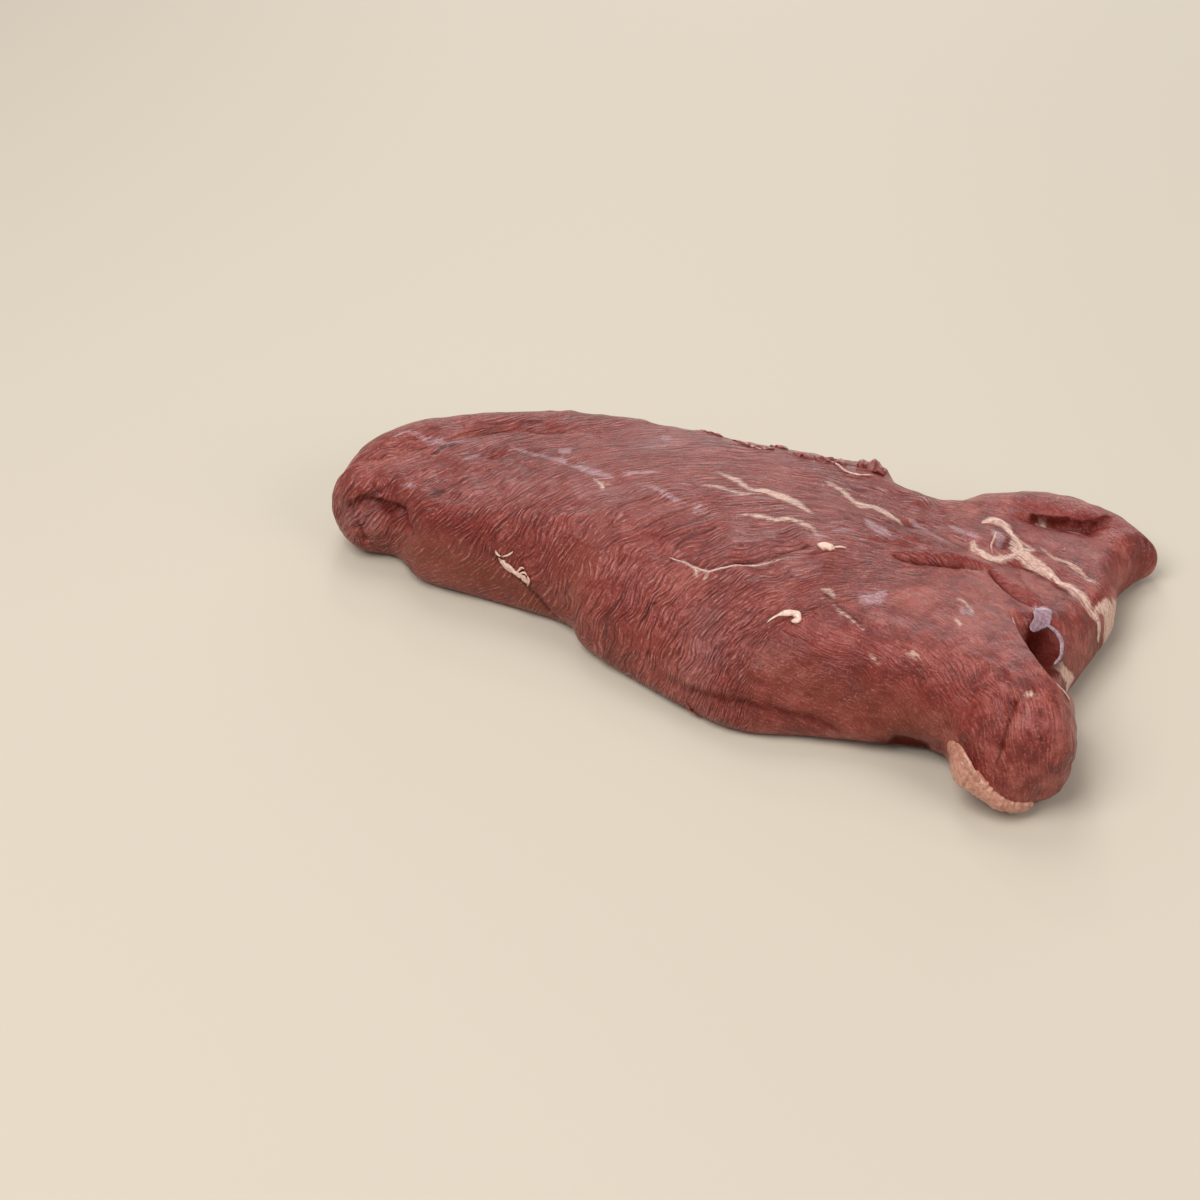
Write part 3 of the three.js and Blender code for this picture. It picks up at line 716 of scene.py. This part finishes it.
# Lines, by the width of their gap, how much painted shade it takes and how deep it is,
# and where they show: a share from least to full as a pattern goes from its low to its
# high value.
SMOOTH_SKIN = (("in_lobe", 0.0, 1.0, 1.0, 0.35), ("brown", 0.1, 0.7, 1.0, 0.15))
LINES = {
    "strands": (0.16, 0.7, 1.0, (*SMOOTH_SKIN, ("patch", 0.34, 0.56, 0.45, 1.0),
                                 ("strand_breaks", 0.34, 0.56, 0.1, 1.0))),
    "grooves": (0.1, 0.85, 0.9, (*SMOOTH_SKIN, ("groove_breaks", 0.46, 0.6, 0.0, 1.0))),
}
# Painted highlights: pale crests along the strands, and pale specks that stand for small glints, where they
# show.
CREST_HIGHLIGHTS = (("strands", 0.3, 0.48, 0.0, 0.55), ("hair", 0.5, 0.66, 0.0, 1.0),
          ("in_lobe", 0.0, 1.0, 1.0, 0.4))
GLINT_SPECKS = (("fine", 0.6, 0.72, 0.0, 0.4),)
LINE_ROUNDING = 0.3
PLUS, TIMES, TIMES_PLUS = ({"operation": o} for o in ("ADD", "MULTIPLY", "MULTIPLY_ADD"))
SMOOTH, COLOURS = {"interpolation_type": "SMOOTHSTEP"}, {"data_type": "RGBA"}


def stretched_noise(tree, grain, spacing, length, detail):
    """Noise stretched along the fibres of a grain map."""
    place = add(tree, "VectorMath", TIMES, grain, (1 / spacing, 1 / length, 0))
    return add(tree, "TexNoise", {"noise_dimensions": "2D"}, place, 1.0, detail, NOISE_ROUGHNESS)


def wavy_lines(tree, grain, line_spacing, bends):
    """Even lines along the fibres, which noise bends sideways, by spacing, length and
    lines of each bend: from 0 in a gap to 0.5 midway between two gaps."""
    phase = add(tree, "Math", TIMES, add(tree, "SeparateXYZ", {}, grain), 1 / line_spacing)
    for spacing, length, bend in bends:
        sideways = stretched_noise(tree, grain, spacing, length, 1.0)
        phase = add(tree, "Math", TIMES_PLUS, sideways, bend, phase)
    return add(tree, "Math", {"operation": "PINGPONG"}, phase, 0.5)


def on_both_grains(tree, pattern, *sizes):
    """A pattern on each grain map, mixed where the maps meet, and the lobes' share."""
    made = []
    for name in ("long_grain", "lobe_grain"):
        grain = add(tree, "Attribute", {"attribute_name": name})
        made.append(pattern(tree, grain, *sizes))
    share = add(tree, "SeparateXYZ", {}, grain).outputs[2]
    return add(tree, "Mix", {}, share, *made), share


def beef_patterns(tree):
    """All that the meat's colour and relief are made from, by name: lines and noise
    along the fibres, round noise, and the numbers stored with the vertices."""
    place = add(tree, "TexCoord", {}).outputs["Object"]
    patterns = {}
    for name, sizes in WAVY.items():
        patterns[name], patterns["in_lobe"] = on_both_grains(tree, wavy_lines, *sizes)
    for name, sizes in STRETCHED.items():
        patterns[name], _ = on_both_grains(tree, stretched_noise, *sizes)
    for name, size in SPOTTED.items():
        patterns[name] = add(tree, "TexNoise", {}, place, 1 / (size * MM), NOISE_DETAIL,
                             NOISE_ROUGHNESS)
    # The seams' third number, dark, is the painted shade of the deepest gaps.
    for stored, names in (("tones", TONES), ("seams", ("cream", "silver", "dark"))):
        numbers = add(tree, "SeparateXYZ", {}, add(tree, "Attribute", {"attribute_name": stored}))
        patterns.update(zip(names, numbers.outputs))
    return patterns


def weighted_sum(tree, patterns, weights, start):
    """The start, plus each pattern times its weight."""
    for name, weight in weights.items():
        start = add(tree, "Math", TIMES_PLUS, patterns[name], weight, start)
    return start


def share_seen(tree, patterns, places):
    """Product of smooth ramps, each on one pattern."""
    share = 1.0
    for name, low, high, least, full in places:
        ramp = add(tree, "MapRange", SMOOTH, patterns[name], low, high, least, full)
        share = add(tree, "Math", TIMES, share, ramp)
    return share


def lean_colour(tree, patterns):
    """Weighted sum of the noises, with more swing on the lobes, put through three reds;
    then the deep red, brown and grey places over it, the brown partly painted shade and
    the grey partly painted sheen."""
    start = 0.5 - sum(LEAN_WEIGHTS.values()) / 2
    tone = weighted_sum(tree, patterns, LEAN_WEIGHTS, start)
    swing = add(tree, "MapRange", SMOOTH, patterns["patch"], *LOBE_SWING)
    tone = add(tree, "Math", TIMES_PLUS, patterns["in_lobe"], swing, tone)
    colour = add(tree, "ValToRGB", {}, tone)
    stops = colour.color_ramp.elements
    stops.new(0.5)
    for index, (position, shade) in enumerate(LEAN_STOPS):
        stops[index].position = position
        stops[index].color = linear(shade)
    broken = add(tree, "MapRange", SMOOTH, patterns["mottle"], *TONE_BREAKS)
    for name, (shade, most) in TONES.items():
        share = add(tree, "Math", TIMES, patterns[name], broken)
        share = add(tree, "Math", TIMES, share, most)
        colour = add(tree, "Mix", COLOURS, share, colour, linear(shade))
    return colour


def strands_over(tree, patterns, colour):
    """Painted shade in the gaps between strands and between bundles, then painted highlights
    on pale crests and specks. Gives the colour, and a height that is rounded up from each gap."""
    raised = 0.0
    for name, (reach, most, depth, places) in LINES.items():
        where = share_seen(tree, patterns, places)
        gap = add(tree, "MapRange", SMOOTH, patterns[name], 0.0, reach, most, 0.0)
        gap = add(tree, "Math", TIMES, gap, where)
        # Painted shade in the gap.
        colour = add(tree, "Mix", COLOURS, gap, colour, linear(GAP_SHADE_COLOUR))
        rise = add(tree, "MapRange", SMOOTH, patterns[name], 0.0, LINE_ROUNDING)
        rise = add(tree, "Math", TIMES, rise, where)
        raised = add(tree, "Math", TIMES_PLUS, rise, depth, raised)
    for places in (CREST_HIGHLIGHTS, GLINT_SPECKS):
        # Painted highlights on the crests and specks.
        pale = share_seen(tree, patterns, places)
        colour = add(tree, "Mix", COLOURS, pale, colour, linear(CREST_HIGHLIGHT_COLOUR))
    return colour, raised


def seams_over(tree, patterns, colour, raised):
    """Seams with ragged edges and two shades, a little raised, then the painted shade of the dark
    gaps over them. Gives the colour, the height and the share of painted shade."""
    ragged = weighted_sum(tree, patterns, SEAM_RAGS, RAGS_START)
    tint = add(tree, "Math", PLUS, patterns["fine"], patterns["hair"])
    tint = add(tree, "MapRange", SMOOTH, tint, *SEAM_TINTS)
    for name, (darker, lighter, soft, most) in SEAMS.items():
        depth = add(tree, "Math", PLUS, patterns[name], ragged)
        inside = add(tree, "MapRange", SMOOTH, depth, -soft, soft, 0.0, most)
        paint = add(tree, "Mix", COLOURS, tint, linear(darker), linear(lighter))
        colour = add(tree, "Mix", COLOURS, inside, colour, paint)
        raised = add(tree, "Math", TIMES_PLUS, inside, SEAM_RISE, raised)
    # Painted shade down in the deepest gaps, over the seams.
    dark = add(tree, "MapRange", SMOOTH, patterns["dark"], 0.0, 1.0, 0.0, DEEP_SHADE_MOST)
    colour = add(tree, "Mix", COLOURS, dark, colour, linear(DEEP_SHADE_COLOUR))
    return colour, raised, dark


def raw_beef():
    """Lean colour with its strands and seams and painted shade in the gaps, moist except down in the dark
    gaps.
    """
    material, tree = new_material("raw_beef")
    patterns = beef_patterns(tree)
    colour, raised = strands_over(tree, patterns, lean_colour(tree, patterns))
    colour, raised, dark = seams_over(tree, patterns, colour, raised)
    raised = weighted_sum(tree, patterns, RELIEF_WEIGHTS, raised)
    bump = add(tree, "Bump", {}, strength=1.0, distance=BEEF_RELIEF * MM, height=raised)
    roughness = add(tree, "MapRange", SMOOTH, patterns["mottle"], 0.35, 0.65, 0.3, 0.5)
    shine, wetness = (add(tree, "MapRange", SMOOTH, dark, 0.0, 0.9, most, least)
                      for most, least in ((0.42, 0.05), (0.21, 0.0)))
    shader = add(tree, "BsdfPrincipled", {}, base_color=colour, roughness=roughness, ior=1.38,
                 specular_ior_level=shine, normal=bump, subsurface_weight=0.1,
                 subsurface_scale=0.001, subsurface_radius=(1.0, 0.35, 0.25),
                 coat_weight=wetness, coat_roughness=0.12, coat_normal=bump)
    add(tree, "OutputMaterial", {}, shader)
    return material


muscle.data.materials.append(raw_beef())
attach(muscle, "root")
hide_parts("chuck_tender")

# Loose tissue on the meat: strands and flaps of fat and of the thin shining skin round
# the muscles, left by the knife. Each is a closed piece that lies on the skin.
FINAL_NORMALS = vertex_normals(skin, triangles)
ON_TOP = outwards[:, 2] > -0.6
SKIN_BLEND, SKIN_MARGIN = 0.8, 4
STRAND_STEP, STRAND_SIDES, CURVE_SAMPLES = 0.3, 14, 12
FEWEST_STEPS, POINTED_STEPS = 8, 4
LUMP_SPACING, LUMPS_ROUND, LUMP_SEEDS = 1.3, 2, (31, 32)
ABOVE_TABLE = 0.05


def skin_at(flat):
    """Place and outward direction of the meat's surface at places on the skin laid flat:
    means of the vertices near by, weighted by a bell curve of their distance."""
    low, high = flat.min(0) - SKIN_MARGIN, flat.max(0) + SKIN_MARGIN
    near_by = ON_TOP & np.all((laid_flat > low) & (laid_flat < high), axis=1)
    gaps = ((flat[:, None] - laid_flat[near_by][None]) ** 2).sum(2)
    weights = np.exp(-(gaps - gaps.min(1, keepdims=True)) / (2 * SKIN_BLEND ** 2))
    weights /= weights.sum(1, keepdims=True)
    out = weights @ FINAL_NORMALS[near_by]
    return weights @ skin[near_by], out / np.linalg.norm(out, axis=1, keepdims=True)


def smooth_line(points):
    """Open Catmull-Rom curve through the points, at even steps."""
    points = np.asarray(points, float)
    padded = np.concatenate([[2 * points[0] - points[1]], points, [2 * points[-1] - points[-2]]])
    curve = closed_curve(padded, CURVE_SAMPLES)[CURVE_SAMPLES:len(points) * CURVE_SAMPLES + 1]
    reach = np.hypot(*np.diff(curve, axis=0).T).sum()
    return evenly(curve, max(FEWEST_STEPS, round(reach / STRAND_STEP)))


def tube_faces(rows):
    """Triangles of a tube of rings and of its two tips, whose points come last."""
    grid = np.arange(rows * STRAND_SIDES).reshape(rows, STRAND_SIDES)
    beside = np.roll(grid, -1, 1)
    first = np.full(STRAND_SIDES, rows * STRAND_SIDES)
    tubes = [np.stack([grid[:-1], beside[1:], beside[:-1]], -1),
             np.stack([grid[:-1], grid[1:], beside[1:]], -1),
             np.stack([grid[0], beside[0], first], -1),
             np.stack([beside[-1], grid[-1], first + 1], -1)]
    return np.concatenate([part.reshape(-1, 3) for part in tubes])


def strand_points(widths, heights, lift, line, lumpy, start):
    """Rings and tips of one strand over a line on the skin: ellipses of the half widths
    and half thicknesses, uneven by noise and drawn to a point at both ends."""
    line = smooth_line(line)
    count = len(line)
    place, out = skin_at(line)
    ahead = np.gradient(place, axis=0)
    ahead /= np.linalg.norm(ahead, axis=1, keepdims=True)
    side = np.cross(out, ahead)
    side /= np.linalg.norm(side, axis=1, keepdims=True)
    rise = np.cross(ahead, side)
    share = np.linspace(0, 1, count)
    width, height = (np.interp(share, np.linspace(0, 1, len(v)), v) for v in (widths, heights))
    ends = np.sqrt(np.clip(np.minimum(share, 1 - share) * count / POINTED_STEPS, 0, 1))
    turn = np.arange(STRAND_SIDES) / STRAND_SIDES * 2 * np.pi
    reach = (share * count * STRAND_STEP / LUMP_SPACING)[:, None] + start
    uneven = 1 + lumpy * sum(noise(reach, LUMPS_ROUND * (1 + wave[None]), seed)
                             for wave, seed in zip((np.cos(turn), np.sin(turn)), LUMP_SEEDS))
    across = (uneven * np.cos(turn) * (width * ends)[:, None])[:, :, None]
    upward = (uneven * np.sin(turn) * (height * ends)[:, None])[:, :, None]
    middle = place + out * lift
    rings = middle[:, None] + side[:, None] * across + rise[:, None] * upward
    return np.concatenate([rings[1:-1].reshape(-1, 3), middle[[0, -1]]])


def tissue(name, strands, lumpy=0.25):
    """One piece of several closed strands that lie on the skin, above the table: half
    widths, half thicknesses, lift off the skin, and line of each."""
    points, faces, used = [], [], 0
    for strand in strands:
        points.append(strand_points(*strand, lumpy, used))
        faces.append(tube_faces(len(points[-1]) // STRAND_SIDES) + used)
        used += len(points[-1])
    points, faces = np.concatenate(points), np.concatenate(faces)
    points[:, 2] = np.maximum(points[:, 2], ABOVE_TABLE)
    a, b, c = (points[faces[:, i]] for i in range(3))
    if np.einsum("ij,ij->", a, np.cross(b, c)) < 0:
        faces = faces[:, ::-1]
    piece = mesh_object(name, points, faces)
    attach(piece, "root")
    return piece


# Sizes in millimetres of the grit and of the stained spots in fat and muscle skin.
GRIT, STAIN = 1.111, 4.17


def soft_tissue(name, colours, stain, roughness, softness, relief_height=0.25):
    """Fat or muscle skin: two colours by fine noise, a stain in spots, wet and soft, with
    a relief of the given height in millimetres."""
    material, tree = new_material(name)
    place = add(tree, "TexCoord", {}).outputs["Object"]
    grit, spots = (add(tree, "TexNoise", {}, place, 1 / (size * MM), NOISE_DETAIL, NOISE_ROUGHNESS)
                   for size in (GRIT, STAIN))
    colour = add(tree, "Mix", COLOURS, add(tree, "MapRange", SMOOTH, grit, 0.25, 0.75),
                 linear(colours[0]), linear(colours[1]))
    stained = add(tree, "MapRange", SMOOTH, spots, 0.56, 0.68, 0.0, 0.7)
    colour = add(tree, "Mix", COLOURS, stained, colour, linear(stain))
    height = add(tree, "Math", TIMES_PLUS, spots, 1.5, grit)
    bump = add(tree, "Bump", {}, strength=0.8, distance=relief_height * MM, height=height)
    shader = add(tree, "BsdfPrincipled", {}, base_color=colour, roughness=roughness,
                 ior=1.44, normal=bump, subsurface_weight=softness, subsurface_scale=0.002,
                 subsurface_radius=(1.0, 0.6, 0.45), coat_weight=0.3, coat_roughness=0.15,
                 coat_normal=bump)
    add(tree, "OutputMaterial", {}, shader)
    return material


# Hard white fat: a hooked strand on the near shoulder, an oval nugget with its tail, and
# a ragged shred at the edge over the brown wall.
white_fat = soft_tissue("white_fat", ("#d6a894", "#f3d5c4"), "#b5786a", 0.4, 0.2)
fat_hook = tissue("fat_hook", [
    ([0.25, 0.3, 0.4, 0.9, 1.3, 1.3, 0.9, 0.7], [0.3, 0.3, 0.4, 0.7, 0.9, 0.9, 0.7, 0.4], 0.4,
     [(39, -47.5), (40.5, -45.5), (43, -43.6), (46, -42.6), (48.2, -43), (48.6, -44.6), (46.6, -45.4)])])
fat_nugget = tissue("fat_nugget", [
    ([0.6, 1.4, 1.6, 1.5, 0.8], [0.5, 1.0, 1.1, 1.0, 0.5], 0.4, [(43.2, -10.8), (46, -11), (49.6, -11)]),
    ([0.3, 0.4, 0.3, 0.25], [0.3, 0.35, 0.3, 0.2], 0.25, [(48.6, -10.4), (50.5, -9.4), (53, -9)])], 0.15)
fat_shred = tissue("fat_shred", [
    ([0.5, 1.1, 1.3, 1.0, 1.0, 0.6], [0.4, 0.7, 0.8, 0.6, 0.6, 0.4], 0.5,
     [(-65.5, -40), (-63.5, -41.6), (-60.5, -43), (-57.5, -44.6), (-54.5, -45.6), (-52.2, -48)]),
    ([0.3, 0.5, 0.4], [0.3, 0.4, 0.3], 0.9, [(-64.8, -40.4), (-62.6, -43), (-60, -44.2)]),
    ([0.3, 0.35, 0.25], [0.3, 0.35, 0.2], 0.5, [(-66.5, -37), (-65.8, -38.4), (-64, -39)]),
    ([0.25, 0.35, 0.25], [0.25, 0.3, 0.2], 0.5, [(-64, -39), (-61.5, -38.2), (-59.8, -36.6)]),
    ([0.3, 0.4, 0.25], [0.3, 0.35, 0.2], 0.8, [(-56.5, -44.6), (-54, -43.6), (-52.8, -44.6)]),
    ([0.3, 0.35, 0.2], [0.3, 0.3, 0.2], 0.7, [(-57.5, -44), (-55.6, -42.2), (-54.2, -42.4)]),
    ([0.35, 0.4, 0.3], [0.3, 0.35, 0.3], 0.6, [(-52.8, -44.6), (-52, -46.6), (-53, -49.4)])], 0.35)
for piece in (fat_hook, fat_nugget, fat_shred):
    piece.data.materials.append(white_fat)

# Soft yellowish fat: a flap that hangs under the thumb lobe and touches the table. It
# grows on the muscle's skin there, and the knife has left it whole.
soft_fat = soft_tissue("soft_fat", ("#ac6e5a", "#d09c86"), "#b05e4c", 0.38, 0.25, 0.1)
fat_flap = tissue("fat_flap", [
    ([2.0, 4.2, 5.0, 4.6, 4.0, 3.4, 2.6, 2.4, 1.2], [0.8, 1.8, 2.4, 2.6, 2.4, 2.4, 2.2, 2.2, 1.0], 0.2,
     [(109.5, -77.5), (113.5, -79), (119, -84), (125, -88.5), (131, -92.5), (137, -95.5), (143, -97),
      (147, -96.5), (151, -95)]),
    ([0.8, 1.4, 1.2, 0.8], [0.4, 0.7, 0.7, 0.4], 2.0,
     [(113.5, -75), (116.5, -77.5), (121, -82), (126, -87)]),
    ([0.6, 2.2, 2.4, 1.0], [0.6, 1.8, 1.8, 0.8], 0.8,
     [(138, -95), (142, -97.5), (146, -97), (149.5, -95)])], 0.1)
fat_flap.data.materials.append(soft_fat)

# Muscle skin: thin, bluish grey and shining. It spans the gap beside the thumb lobe and
# rims the hole there.
muscle_skin = soft_tissue("muscle_skin", ("#80606a", "#b4939c"), "#86555c", 0.22, 0.1, 0.15)
gap_skin = tissue("gap_skin", [
    ([1.2, 3.0, 3.2, 2.2, 1.2], [0.2, 0.3, 0.3, 0.3, 0.2], 0.35,
     [(118.5, -2.4), (119.3, -5), (120, -8.5), (119.6, -12), (118.6, -15.5)]),
    ([0.5, 0.6, 0.8, 0.8, 0.6, 0.4], [0.4, 0.5, 0.6, 0.6, 0.5, 0.3], 0.3,
     [(120.5, -12), (123, -9.8), (127, -10.8), (130.5, -13.4), (133, -17.5), (134, -22.5)])], 0.08)
gap_skin.data.materials.append(muscle_skin)

# Pale torn edges of that skin: threads on the crest of the thumb lobe, round the torn
# leaf on the top, and on the far edge.
pale_edge = soft_tissue("pale_edge", ("#b98a80", "#dfc0b4"), "#a06a60", 0.35, 0.1)
edge_threads = tissue("edge_threads", [
    ([0.25, 0.7, 0.55, 0.4, 0.35, 0.35, 0.3], [0.2, 0.4, 0.4, 0.35, 0.3, 0.3, 0.2], 0.15,
     [(112, -16), (115.4, -22), (119, -29), (122.6, -34.6), (126, -39.6), (129.6, -44.4),
      (134, -48), (141, -50.4)]),
    ([0.2, 0.35, 0.35, 0.4, 0.35, 0.3, 0.2], [0.2, 0.3, 0.3, 0.3, 0.3, 0.3, 0.2], 0.15,
     [(-3, -28.6), (2, -29.4), (7, -31.4), (13, -32.4), (17, -29.8), (22, -26.4), (27, -25.6),
      (32, -22)]),
    ([0.2, 0.3, 0.2], [0.2, 0.25, 0.2], 0.15, [(6, -31), (8.4, -32.6), (10, -35.6)]),
    ([0.2, 0.45, 0.5, 0.4, 0.2], [0.2, 0.35, 0.35, 0.3, 0.2], 0.3,
     [(27, 46.5), (31, 44.4), (35, 41.6), (40, 41.4), (44.6, 43.4)]),
    ([0.2, 0.4, 0.3], [0.2, 0.3, 0.2], 0.3, [(-6, 46.5), (-1, 43), (4, 41)])], 0.3)
edge_threads.data.materials.append(pale_edge)

# Torn lean: dark red scraps that stand up along the far edge, the loose knob at their
# end, and a short thread that hangs from the foot of the near side.
torn_lean = soft_tissue("torn_lean", ("#6e241d", "#a1584e"), "#b98a84", 0.36, 0.1, 0.3)
lean_scraps = tissue("lean_scraps", [
    ([0.4, 1.1, 1.2, 0.5], [0.3, 0.7, 0.8, 0.3], 0.3, [(4, 49), (8, 47.5), (12, 46.5)]),
    ([0.4, 1.2, 1.4, 0.6], [0.3, 0.9, 1.1, 0.4], 0.3, [(14, 45), (18, 45.6), (22, 45)]),
    ([0.4, 1.0, 1.5, 1.2, 0.5], [0.3, 0.8, 1.2, 1.0, 0.4], 0.4,
     [(21, 47.5), (25, 45.6), (30, 46.6), (34, 46)]),
    ([0.9, 2.0, 2.4, 2.1, 0.9], [0.7, 1.5, 1.9, 1.6, 0.7], 0.8, [(37, 47), (40.5, 49), (44, 50), (47, 48)]),
    ([0.3, 0.8, 0.8, 0.4], [0.2, 0.5, 0.5, 0.2], 0.3, [(-9, 45), (-3, 43.5), (3, 42.5), (8, 43.5)]),
    ([0.3, 0.7, 0.3], [0.2, 0.5, 0.2], 0.3, [(-24, 47), (-19, 46.5), (-13, 47)]),
    ([0.2, 0.35, 0.3, 0.2], [0.2, 0.3, 0.25, 0.2], 0.3, [(15, -80), (17, -84), (19.5, -86.5)])], 0.6)
lean_scraps.data.materials.append(torn_lean)

# Gristle: the tough pale seam where the two lobes part. It has an arc and a lower rim
# round a window of flesh, and runs from there to the end between the lobes.
gristle_finish = soft_tissue("gristle", ("#b68474", "#e4bfae"), "#96564d", 0.34, 0.15, 0.15)
gristle = tissue("gristle", [
    ([0.4, 1.5, 1.5, 1.0, 0.7, 0.6, 0.8], [0.2, 0.45, 0.4, 0.35, 0.3, 0.3, 0.3], 0.0,
     [(85.5, 37), (89, 40.6), (93, 40), (97, 36), (101, 32), (103.6, 28)]),
    ([0.3, 0.6, 0.9, 0.8, 0.6, 0.8], [0.2, 0.3, 0.35, 0.35, 0.3, 0.25], 0.0,
     [(86.5, 25), (89, 20.5), (92, 17.6), (95, 16.2), (98, 18), (101, 23), (103, 27)]),
    ([0.8, 2.1, 1.9, 1.3, 1.1, 0.9, 0.7, 0.6, 0.6, 0.7, 0.8, 0.5], [0.2, 0.4, 0.4, 0.35, 0.3, 0.25], 0.0,
     [(101, 29), (104, 26.5), (107, 25), (111, 23), (115, 21), (119, 18), (123, 17), (127, 14),
      (132, 9), (136, 8), (140, 6), (146, 5)]),
    ([0.2, 0.4, 0.3, 0.2], [0.2, 0.3, 0.25, 0.2], 0.0, [(92, 34), (92.5, 30), (93, 25), (95, 20)])], 0.2)
gristle.data.materials.append(gristle_finish)

# The table: a plain pale surface that the meat rests on, in metres. It lies a hair lower
# than the flat of the meat.
TABLE_SIZE, TABLE_DROP, TABLE_COLOUR = 6.0, 0.0002, "#cdc2b0"
table_mesh = bpy.data.meshes.new("table")
corner = TABLE_SIZE / 2
table_mesh.from_pydata([(-corner, -corner, -TABLE_DROP), (corner, -corner, -TABLE_DROP),
                        (corner, corner, -TABLE_DROP), (-corner, corner, -TABLE_DROP)],
                       [], [(0, 1, 2, 3)])
table = bpy.data.objects.new("table", table_mesh)
bpy.context.scene.collection.objects.link(table)
table_finish, tree = new_material("pale_table")
surface = add(tree, "BsdfPrincipled", {}, base_color=linear(TABLE_COLOUR), roughness=0.7)
add(tree, "OutputMaterial", {}, surface)
table_mesh.materials.append(table_finish)

# Light: an even white surround, a large soft box left of the camera that shades the
# relief, a box at the right end, one above the far side, a low strip behind for the
# sheen of the far shoulder, and a small lamp for glints. There is no film curve.
SURROUND_STRENGTH = 0.35
bpy.context.scene.view_settings.view_transform = "Standard"
world = bpy.data.worlds.new("surround")
world.use_nodes = True
world.node_tree.nodes["Background"].inputs["Color"].default_value = (1, 1, 1, 1)
world.node_tree.nodes["Background"].inputs["Strength"].default_value = SURROUND_STRENGTH
bpy.context.scene.world = world

# Place, width and height in metres, and power in watts.
SOFT_BOXES = {
    "front_box": ((-0.28, -0.52, 1.14), 0.8, 0.8, 11.5),
    "right_box": ((0.95, -0.2, 0.6), 0.6, 0.6, 3.2),
    "top_box": ((-0.26, 0.5, 1.05), 0.5, 0.5, 2.8),
    "back_strip": ((-0.2, 1.1, 0.2), 1.2, 0.2, 3.0),
    "glint_lamp": ((-0.42, 0.83, 0.78), 0.12, 0.12, 0.8),
}
for name, (place, width, tall, power) in SOFT_BOXES.items():
    lamp = bpy.data.lights.new(name, "AREA")
    lamp.shape, lamp.size, lamp.size_y, lamp.energy = "RECTANGLE", width, tall, power
    box = bpy.data.objects.new(name, lamp)
    box.location = place
    box.rotation_euler = (-Vector(place)).to_track_quat("-Z", "Y").to_euler()
    bpy.context.scene.collection.objects.link(box)

# Camera: at the photo's viewing angle, from the thumb lobe's side. It stands about
# 27 degrees round from the front, looks 38.7 degrees down and is a little tilted.
CAMERA_PLACE = (0.2696, -0.6163, 0.540)
CAMERA_AZIMUTH, CAMERA_DIP, CAMERA_ROLL = 27.0, 38.7, -5.0
FOCAL_PIXELS, PHOTO_WIDTH, SENSOR = 2450, 1200, 36
azimuth, dip, roll = (math.radians(a) for a in (CAMERA_AZIMUTH, CAMERA_DIP, CAMERA_ROLL))
level = Vector((math.cos(azimuth), math.sin(azimuth), 0))
ahead = Vector((-math.sin(azimuth) * math.cos(dip), math.cos(azimuth) * math.cos(dip), -math.sin(dip)))
upright = level.cross(ahead)
right = math.cos(roll) * level + math.sin(roll) * upright
up = math.cos(roll) * upright - math.sin(roll) * level
lens = bpy.data.cameras.new("camera")
lens.sensor_width = SENSOR
lens.lens = FOCAL_PIXELS / PHOTO_WIDTH * SENSOR
camera = bpy.data.objects.new("camera", lens)
turned = Matrix((right, up, -ahead)).transposed().to_4x4()
camera.matrix_world = Matrix.Translation(CAMERA_PLACE) @ turned
bpy.context.scene.collection.objects.link(camera)
bpy.context.scene.camera = camera
